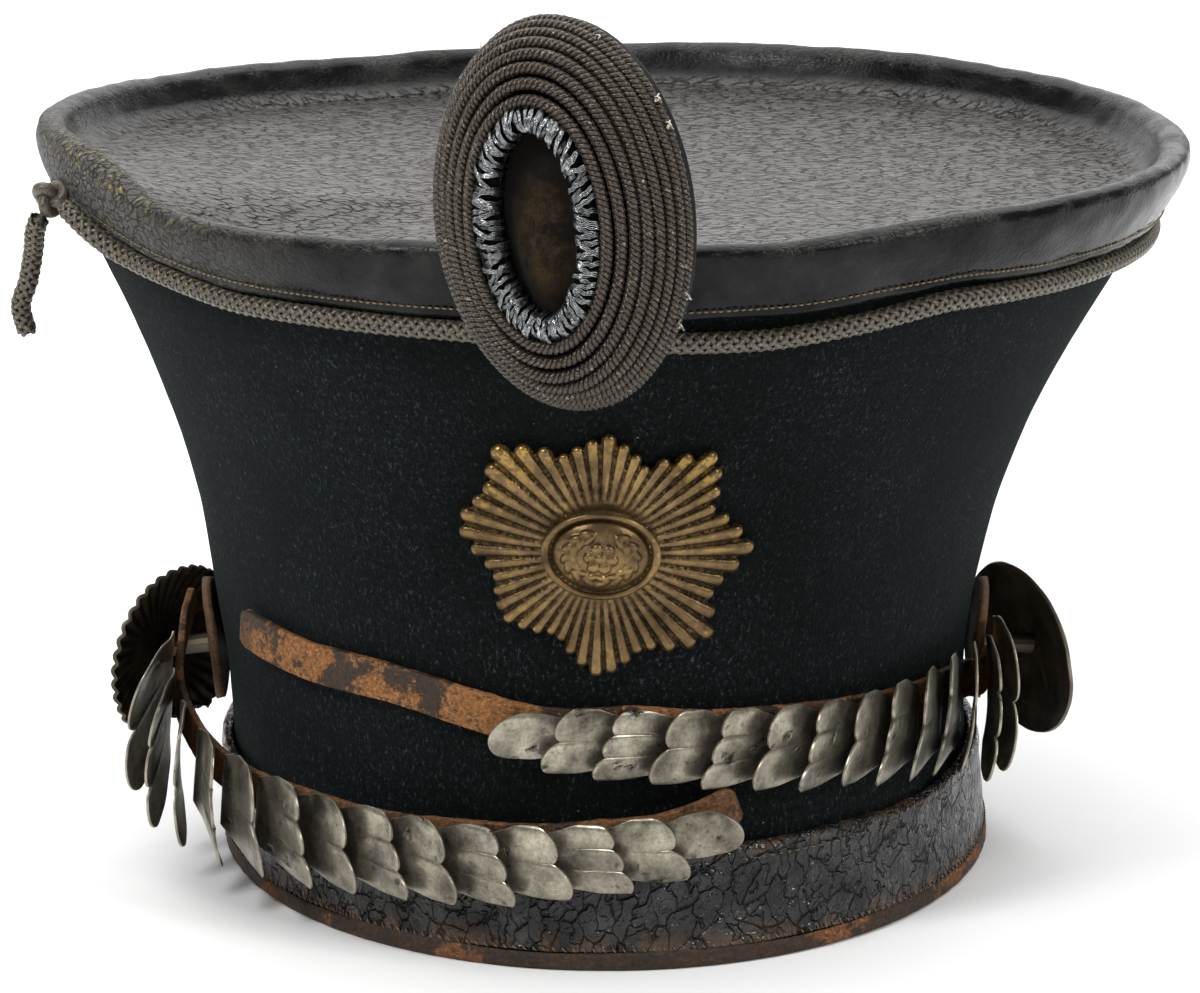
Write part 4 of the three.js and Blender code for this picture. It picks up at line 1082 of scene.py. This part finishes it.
class SHAKO_OT_straps(bpy.types.Operator):
    """Makes the two leather halves of the chin strap"""
    bl_idname = "shako.straps"
    bl_label = "Chin strap leather"

    def execute(self, context):
        leather = brown_leather("Cracked strap leather", "#19140f", "#40301f", "#8a5c34")
        for side in ("right", "left"):
            total = strap_frames(side, np.array([0.0]))[4]
            columns, rows = 260, 12

            def place(u, v, side=side, total=total):
                at, _, out, across, _ = strap_frames(side, u * total)
                end = np.minimum(u, 1 - u) * total
                half = STRAP_WIDTH / 2 * np.clip(np.sqrt(np.clip(end, 0, 2.2) / 2.2) * 0.35 + 0.65, 0, 1)
                edge = (v - 0.5) * 2
                curl = 0.35 * np.sin(u * 21 + 1) * edge + 0.25 * np.sin(u * 47) * edge ** 2
                shift = 0.25 * np.sin(u * 30)
                rise = LOW[side] * strap_rise(side, u * total)
                p = at + across * (edge * half + shift - rise)[:, None]
                p = p + out * (0.8 + curl * 0.5)[:, None]
                return (p + SHIFT) * MM
            strap = soft_sheet(columns, rows, place)
            roughen(strap, 0.14, 2.5, 31)
            patchy = lumps(points_of(strap), 22, 32)
            paint(strap, "wear", 0.35 + 0.65 * (patchy > -0.25) if side == "right" else 0.55 + 0 * patchy)
            modify(strap, "SOLIDIFY", thickness=1.6 * MM, offset=-1)
            modify(strap, "BEVEL", width=0.35 * MM, segments=2, limit_method="ANGLE")
            settle(strap, f"Strap_{side.title()}", leather, "strap_leather", f"strap_{side}")
        return {"FINISHED"}


class SHAKO_OT_scales(bpy.types.Operator):
    """Makes one scale of each pattern and sets a copy at each place on the straps"""
    bl_idname = "shako.scales"
    bl_label = "Chin scales"

    def execute(self, context):
        tarnished = metal("Tarnished scale brass", "#b5ae9c", "#8b8576", "#4f4b41", 0.27, 0.6, "#1d1a15")
        patterns = {}
        for lobes in (1, 2, 3):
            patterns[lobes] = scale_pattern(lobes)
        dice = random.Random(8)
        for side in ("right", "left"):
            for number in range(1, 15):
                lobes = 1 if number == 1 else 2 + number % 2
                width, length, lift = (float(read(SCALES, "n", number, k))
                                       for k in ("width", "length", "lift"))
                distance = START[side] + (14 - number) * PITCH[side]
                at, along, out, across, _ = strap_frames(side, np.array([distance]))
                pick(patterns[lobes])
                bpy.ops.object.duplicate()
                piece = bpy.context.object
                flat = points_of(piece) / MM
                x = flat[:, 0] * width / 20
                s = flat[:, 1] * length / 20
                sag = x ** 2 / 110 * np.clip(s / 4, 0, 1)
                turned = 0.02 * dice.uniform(-1, 1)
                bent = dice.uniform(-0.2, 0.3) * (s / length) ** 2
                slant = SCALE_SLANT * LOW[side] * x * np.clip(s / (0.6 * length), 0, 1)
                height = ((STRAP_THICK + SCALE_THICK) / 2 + GAP + s * lift - sag
                          + flat[:, 2] * 0.9 + bent)
                p = (at + along * (s + slant + turned * x)[:, None]
                     + across * (x - turned * s)[:, None] + out * height[:, None])
                move_points(piece, (p + SHIFT) * MM)
                modify(piece, "SUBSURF", levels=1, render_levels=1)
                modify(piece, "SOLIDIFY", thickness=0.62 * MM, offset=0)
                modify(piece, "BEVEL", width=0.2 * MM, segments=2, limit_method="ANGLE")
                pick(piece)
                bpy.ops.object.shade_smooth_by_angle(angle=math.radians(50))
                spots = lumps(points_of(piece), 4.0, 60 + number)
                paint(piece, "pits_and_dark_grooves", np.clip((spots - 0.62) * 8, 0, 1))
                settle(piece, f"Scale_{side.title()}_{number:02d}", tarnished, "scale_metal",
                       f"scale_{side}_{number:02d}")
        for pattern in patterns.values():
            bpy.data.objects.remove(pattern)
        return {"FINISHED"}


class SHAKO_OT_bosses(bpy.types.Operator):
    """Makes the dished strap bosses and the leather pads behind them"""
    bl_idname = "shako.bosses"
    bl_label = "Strap bosses"

    def execute(self, context):
        dark = metal("Blackened boss brass", "#5a5346", "#3a352c", "#201d18", 0.45, 0.6)
        bright = metal("Polished boss brass", "#8d8476", "#6a6254", "#3c372e", 0.3, 0.4)
        scallops = context.scene.shako_sizes.scallops
        for side, at, facing, cut, finish in (
                ("left", (-97.5, 1, 40), (-0.78, 0.62, 0.12), 15, dark),
                ("right", (93.4, 1, 41), (0.85, 0.50, 0.15), 99, bright)):
            deselect()
            bpy.ops.mesh.primitive_circle_add(vertices=144, radius=20 * MM, fill_type="NOTHING")
            disc = bpy.context.object
            bpy.ops.object.mode_set(mode="EDIT")
            bpy.ops.mesh.select_all(action="SELECT")
            rings = (0.985, 0.94, 0.86, 0.74, 0.6, 0.45, 0.3, 0.16)
            before, level = 1.0, 0.0
            for share in rings:
                rise = 5 * (1 - share ** 2) * MM
                bpy.ops.mesh.extrude_edges_move(TRANSFORM_OT_translate={"value": (0, 0, rise - level)})
                bpy.ops.transform.resize(value=(share / before, share / before, 1),
                                         center_override=(0, 0, 0))
                before, level = share, rise
            bpy.ops.mesh.extrude_edges_move(TRANSFORM_OT_translate={"value": (0, 0, 5 * MM - level)})
            bpy.ops.mesh.merge(type="CENTER")
            bpy.ops.object.mode_set(mode="OBJECT")
            co = points_of(disc) / MM
            r, t = np.hypot(co[:, 0], co[:, 1]), np.arctan2(co[:, 1], co[:, 0])
            if side == "left":
                flute = np.clip((r - 9) / 11, 0, 1) * np.cos(t * scallops)
                co[:, 2] += flute * 0.55
                grow = 1 + 0.018 * np.clip((r - 16) / 4, 0, 1) * np.cos(t * scallops)
                co[:, :2] *= grow[:, None]
                ragged = -cut + 0.5 * np.sin(co[:, 0] * 1.3) + 0.3 * np.sin(co[:, 0] * 3.1)
                co[:, 1] = np.maximum(co[:, 1], ragged)
            dent = lumps(co * MM, 14, 41)
            co[:, 2] += dent * 0.5
            face = np.array(facing) / np.linalg.norm(facing)
            across = unit(np.cross([0, 0, 1.0], face))
            up = np.cross(face, across)
            basis = np.array([across, up, face])
            move_points(disc, (co @ basis + np.array(at) + SHIFT) * MM)
            modify(disc, "SUBSURF", levels=1, render_levels=1)
            modify(disc, "SOLIDIFY", thickness=0.9 * MM, offset=1)
            modify(disc, "BEVEL", width=0.25 * MM, segments=2, limit_method="ANGLE")
            pick(disc)
            bpy.ops.object.shade_smooth_by_angle(angle=math.radians(50))
            settle(disc, f"Boss_{side.title()}", finish, "scale_metal", f"boss_{side}")
            sign = -1 if side == "left" else 1

            def washer(u, v, sign=sign):
                t, r = u * 2 * np.pi, 13.6 * v
                turn = np.degrees(r * np.cos(t) / 98)
                return hat(sign * 90 + turn, 44 + r * np.sin(t), 2.4 - 0.5 * v ** 6)
            pad = soft_sheet(72, 14, washer)
            roughen(pad, 0.12, 4, 44)
            paint(pad, "wear", np.full(len(pad.data.vertices), 0.4))
            modify(pad, "SOLIDIFY", thickness=1.9 * MM, offset=-1)
            settle(pad, f"Boss_Pad_{side.title()}", brown_leather(f"Pad leather {side}", "#3a2a1c",
                   "#5a432e", "#8a6a48"), "strap_leather", f"boss_pad_{side}")
            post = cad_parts[f"boss_post_{side}"]
            post.data.materials.clear()
            post.data.materials.append(dark)
        return {"FINISHED"}


class SHAKO_OT_badge(bpy.types.Operator):
    """Makes the rayed badge and its oval medallion with a wreath"""
    bl_idname = "shako.badge"
    bl_label = "Badge"

    def execute(self, context):
        brass = metal("Stamped brass with dark patina", "#957a4c", "#6d583b", "#483922", 0.28, 0.45,
                      "#120e09", "#ab8a45")
        flutes = context.scene.shako_sizes.flutes
        parts = []
        for i in range(flutes):
            # Each ray is a half-round flute that widens outwards and ends in a rounded tip.
            direction = 360 * i / flutes
            reach = float(read(BADGE_RAYS, "a", direction, "reach"))
            end = 0.98 * math.pi * reach / (flutes + math.pi)
            deselect()
            bpy.ops.mesh.primitive_cone_add(vertices=16, radius1=0.2 * MM, radius2=end * MM,
                                            depth=(reach - end) * MM, rotation=(-math.pi / 2, 0, 0),
                                            location=(0, (reach - end) / 2 * MM, 0))
            flute = bpy.context.object
            bpy.ops.mesh.primitive_uv_sphere_add(segments=16, ring_count=10, radius=end * MM,
                                                 location=(0, (reach - end) * MM, 0))
            ray = joined([flute, bpy.context.object])
            bpy.ops.object.transform_apply(location=True, rotation=True, scale=True)
            bpy.ops.object.mode_set(mode="EDIT")
            bpy.ops.mesh.select_all(action="SELECT")
            bpy.ops.transform.resize(value=(1, 1, 0.95), center_override=(0, 0, 0))
            bpy.ops.transform.rotate(value=math.radians(direction), orient_axis="Z",
                                     center_override=(0, 0, 0))
            bpy.ops.object.mode_set(mode="OBJECT")
            parts.append(ray)
        deselect()
        bpy.ops.mesh.primitive_cylinder_add(vertices=64, radius=17.5 * MM, depth=1.0 * MM)
        parts.append(bpy.context.object)
        star = joined(parts)
        modify(star, "REMESH", mode="VOXEL", voxel_size=0.30 * MM)
        modify(star, "SMOOTH", factor=0.5, iterations=1)
        co = points_of(star)
        co[:, 2] = np.maximum(co[:, 2], -0.45 * MM)
        move_points(star, co)
        modify(star, "DECIMATE", ratio=0.4)
        co = points_of(star) / MM
        out = np.hypot(co[:, 0], co[:, 1])
        # The grooves between the rays, outside the middle disc, are painted near-black.
        between = -np.cos(np.arctan2(co[:, 0], co[:, 1]) * flutes)
        paint(star, "pits_and_dark_grooves", np.clip(between * 1.6 - 0.55, 0, 0.85) * np.clip((out - 8) / 6, 0, 1))
        paint(star, "wear", np.clip((out - 20) / 8, 0, 1) * np.clip(0.1 + co[:, 1] / 26, 0.0, 0.8))

        def wrap(piece, base):
            co = points_of(piece) / MM
            z = BADGE_AT[1] + co[:, 1]
            length = read(CLOTH, "z", z, "l")
            angle = BADGE_AT[0] + np.degrees(co[:, 0] / length) * 1.07
            move_points(piece, hat(angle, z, base + co[:, 2]))
            pick(piece)
            bpy.ops.object.shade_smooth()
        wrap(star, 1.35)
        settle(star, "Badge_Star", brass, "brass", "badge_star")

        parts = []
        for radius_x, radius_y, height, thick in ((11.6, 9.0, 1.0, 1.1),):
            deselect()
            bpy.ops.mesh.primitive_torus_add(major_segments=96, minor_segments=12, major_radius=1,
                                             minor_radius=0.08)
            rim = bpy.context.object
            bpy.ops.transform.resize(value=(radius_x * MM, radius_y * MM, 10 * thick * MM))
            bpy.ops.transform.translate(value=(0, 0, height * MM))
            bpy.ops.object.transform_apply(location=True, rotation=True, scale=True)
            parts.append(rim)
        deselect()
        bpy.ops.mesh.primitive_uv_sphere_add(segments=64, ring_count=32, radius=1)
        dome = bpy.context.object
        bpy.ops.transform.resize(value=(10.4 * MM, 7.9 * MM, 3.4 * MM))
        bpy.ops.object.transform_apply(location=True, rotation=True, scale=True)
        parts.append(dome)
        # Wreath: two curved sprays of leaves that meet at the foot, round a small rosette.
        for way in (-1, 1):
            for k in range(7):
                t = math.radians(-78 + 23 * k)
                for lean, size in ((-0.5, 1.0), (0.5, 0.9)):
                    deselect()
                    bpy.ops.mesh.primitive_uv_sphere_add(segments=10, ring_count=8, radius=1)
                    leaf = bpy.context.object
                    bpy.ops.transform.resize(value=(0.85 * MM, 1.8 * size * MM, 0.75 * MM))
                    bpy.ops.object.transform_apply(location=True, rotation=True, scale=True)
                    co = points_of(leaf)
                    turn = t + lean
                    x, y = co[:, 0].copy(), co[:, 1].copy()
                    rx = 6.6 + lean * 1.3
                    ry = 5.2 + lean * 1.1
                    co[:, 0] = way * (x * math.cos(turn) - y * math.sin(turn) + rx * math.cos(t) * MM)
                    co[:, 1] = x * math.sin(turn) + y * math.cos(turn) + ry * math.sin(t) * MM
                    flat = (co[:, 0] / (10.4 * MM)) ** 2 + (co[:, 1] / (7.9 * MM)) ** 2
                    co[:, 2] += 3.4 * np.sqrt(np.clip(1 - flat, 0.05, 1)) * MM
                    move_points(leaf, co)
                    parts.append(leaf)
        for k in range(7):
            deselect()
            bpy.ops.mesh.primitive_uv_sphere_add(segments=12, ring_count=8, radius=1)
            petal = bpy.context.object
            spread = 0 if k == 6 else 2.3
            t = math.radians(60 * k)
            bpy.ops.transform.resize(value=(1.3 * MM, 1.3 * MM, 0.9 * MM))
            bpy.ops.transform.translate(value=(spread * math.cos(t) * MM, spread * math.sin(t) * MM,
                                               (3.5 if k == 6 else 3.3) * MM))
            bpy.ops.object.transform_apply(location=True, rotation=True, scale=True)
            parts.append(petal)
        medal = joined(parts)
        modify(medal, "REMESH", mode="VOXEL", voxel_size=0.2 * MM)
        modify(medal, "SMOOTH", factor=0.5, iterations=2)
        modify(medal, "DECIMATE", ratio=0.5)
        co = points_of(medal)
        tilt = math.radians(-8)
        x, y = co[:, 0].copy(), co[:, 1].copy()
        co[:, 0] = x * math.cos(tilt) - y * math.sin(tilt)
        co[:, 1] = x * math.sin(tilt) + y * math.cos(tilt)
        move_points(medal, co)
        wrap(medal, 2.9)
        settle(medal, "Badge_Medallion", brass, "brass", "badge_boss")
        return {"FINISHED"}


# ---------------------------------------------------------------- stage
# The camera stands well back and looks a little down on the hat.
CAMERA_SPOT = [-1.46, -1100.0, 351.0]
CAMERA_TILT = 14.0
FILM_WIDTH = 36
FOCAL_IN_FILM_WIDTHS = 5032 / 1200
LAMPS_AIM = (0, 0, 0.1)
ROOM_LIGHT = 0.28


class SHAKO_OT_stage(bpy.types.Operator):
    """Makes the pale floor, the soft lights and the camera"""
    bl_idname = "shako.stage"
    bl_label = "Stage"

    def execute(self, context):
        deselect()
        bpy.ops.mesh.primitive_plane_add(size=12, location=(0, 0, 0))
        floor = bpy.context.object
        floor.name = "Floor"
        paper, surface, _ = new_finish("Matt white paper", Roughness=0.9)
        surface.inputs["Base Color"].default_value = linear("#f4f4f4")
        floor.data.materials.append(paper)

        world = context.scene.world or bpy.data.worlds.new("World")
        context.scene.world = world
        world.use_nodes = True
        background = world.node_tree.nodes["Background"]
        background.inputs["Color"].default_value = (1, 1, 1, 1)
        background.inputs["Strength"].default_value = ROOM_LIGHT

        for name, place, size, power in (
                ("Key", (-1.0, -1.0, 1.3), (0.4, 0.4), 19), ("Fill", (1.3, -0.9, 0.9), (0.5, 0.5), 11),
                ("Top", (0.0, 0.5, 2.0), (3.0, 3.0), 74), ("Back", (0.0, 2.3, 0.8), (2.6, 1.1), 12)):
            light = bpy.data.lights.new(name, "AREA")
            light.shape = "RECTANGLE"
            light.energy, light.size, light.size_y = power, *size
            lamp = bpy.data.objects.new(name, light)
            lamp.location = place
            aim = Vector(LAMPS_AIM) - Vector(place)
            lamp.rotation_euler = aim.to_track_quat("-Z", "Y").to_euler()
            context.scene.collection.objects.link(lamp)

        lens = bpy.data.cameras.new("Camera")
        lens.lens, lens.sensor_width = FOCAL_IN_FILM_WIDTHS * FILM_WIDTH, FILM_WIDTH
        lens.clip_start, lens.clip_end = 0.05, 20
        camera = bpy.data.objects.new("Camera", lens)
        camera.location = (np.array(CAMERA_SPOT) + SHIFT) * MM
        camera.rotation_euler = (math.radians(90 - CAMERA_TILT), 0, 0)
        context.scene.collection.objects.link(camera)
        context.scene.camera = camera
        context.scene.view_settings.view_transform = "Standard"
        return {"FINISHED"}


class SHAKO_PT_panel(bpy.types.Panel):
    """Lists the shako's settings and the pieces that can be made"""
    bl_idname = "SHAKO_PT_panel"
    bl_label = "Shako Hat"
    bl_space_type = "VIEW_3D"
    bl_region_type = "UI"
    bl_category = "Shako"

    def draw(self, context):
        for group in (context.scene.shako_sizes, context.scene.shako_colours):
            for name in group.bl_rna.properties.keys():
                if name not in {"rna_type", "name"}:
                    self.layout.prop(group, name)
        for operator in OPERATORS:
            self.layout.operator(operator.bl_idname)


OPERATORS = (SHAKO_OT_stage, SHAKO_OT_body, SHAKO_OT_crown, SHAKO_OT_band, SHAKO_OT_cord,
             SHAKO_OT_cockade, SHAKO_OT_badge, SHAKO_OT_straps, SHAKO_OT_scales, SHAKO_OT_bosses)
CLASSES = (ShakoColours, ShakoSizes) + OPERATORS + (SHAKO_PT_panel,)


def register():
    for cls in CLASSES:
        bpy.utils.register_class(cls)
    bpy.types.Scene.shako_colours = bpy.props.PointerProperty(type=ShakoColours)
    bpy.types.Scene.shako_sizes = bpy.props.PointerProperty(type=ShakoSizes)


def unregister():
    del bpy.types.Scene.shako_sizes
    del bpy.types.Scene.shako_colours
    for cls in reversed(CLASSES):
        bpy.utils.unregister_class(cls)


def main():
    register()
    for operator in OPERATORS:
        group, name = operator.bl_idname.split(".")
        getattr(getattr(bpy.ops, group), name)()


if __name__ == "__main__":
    main()
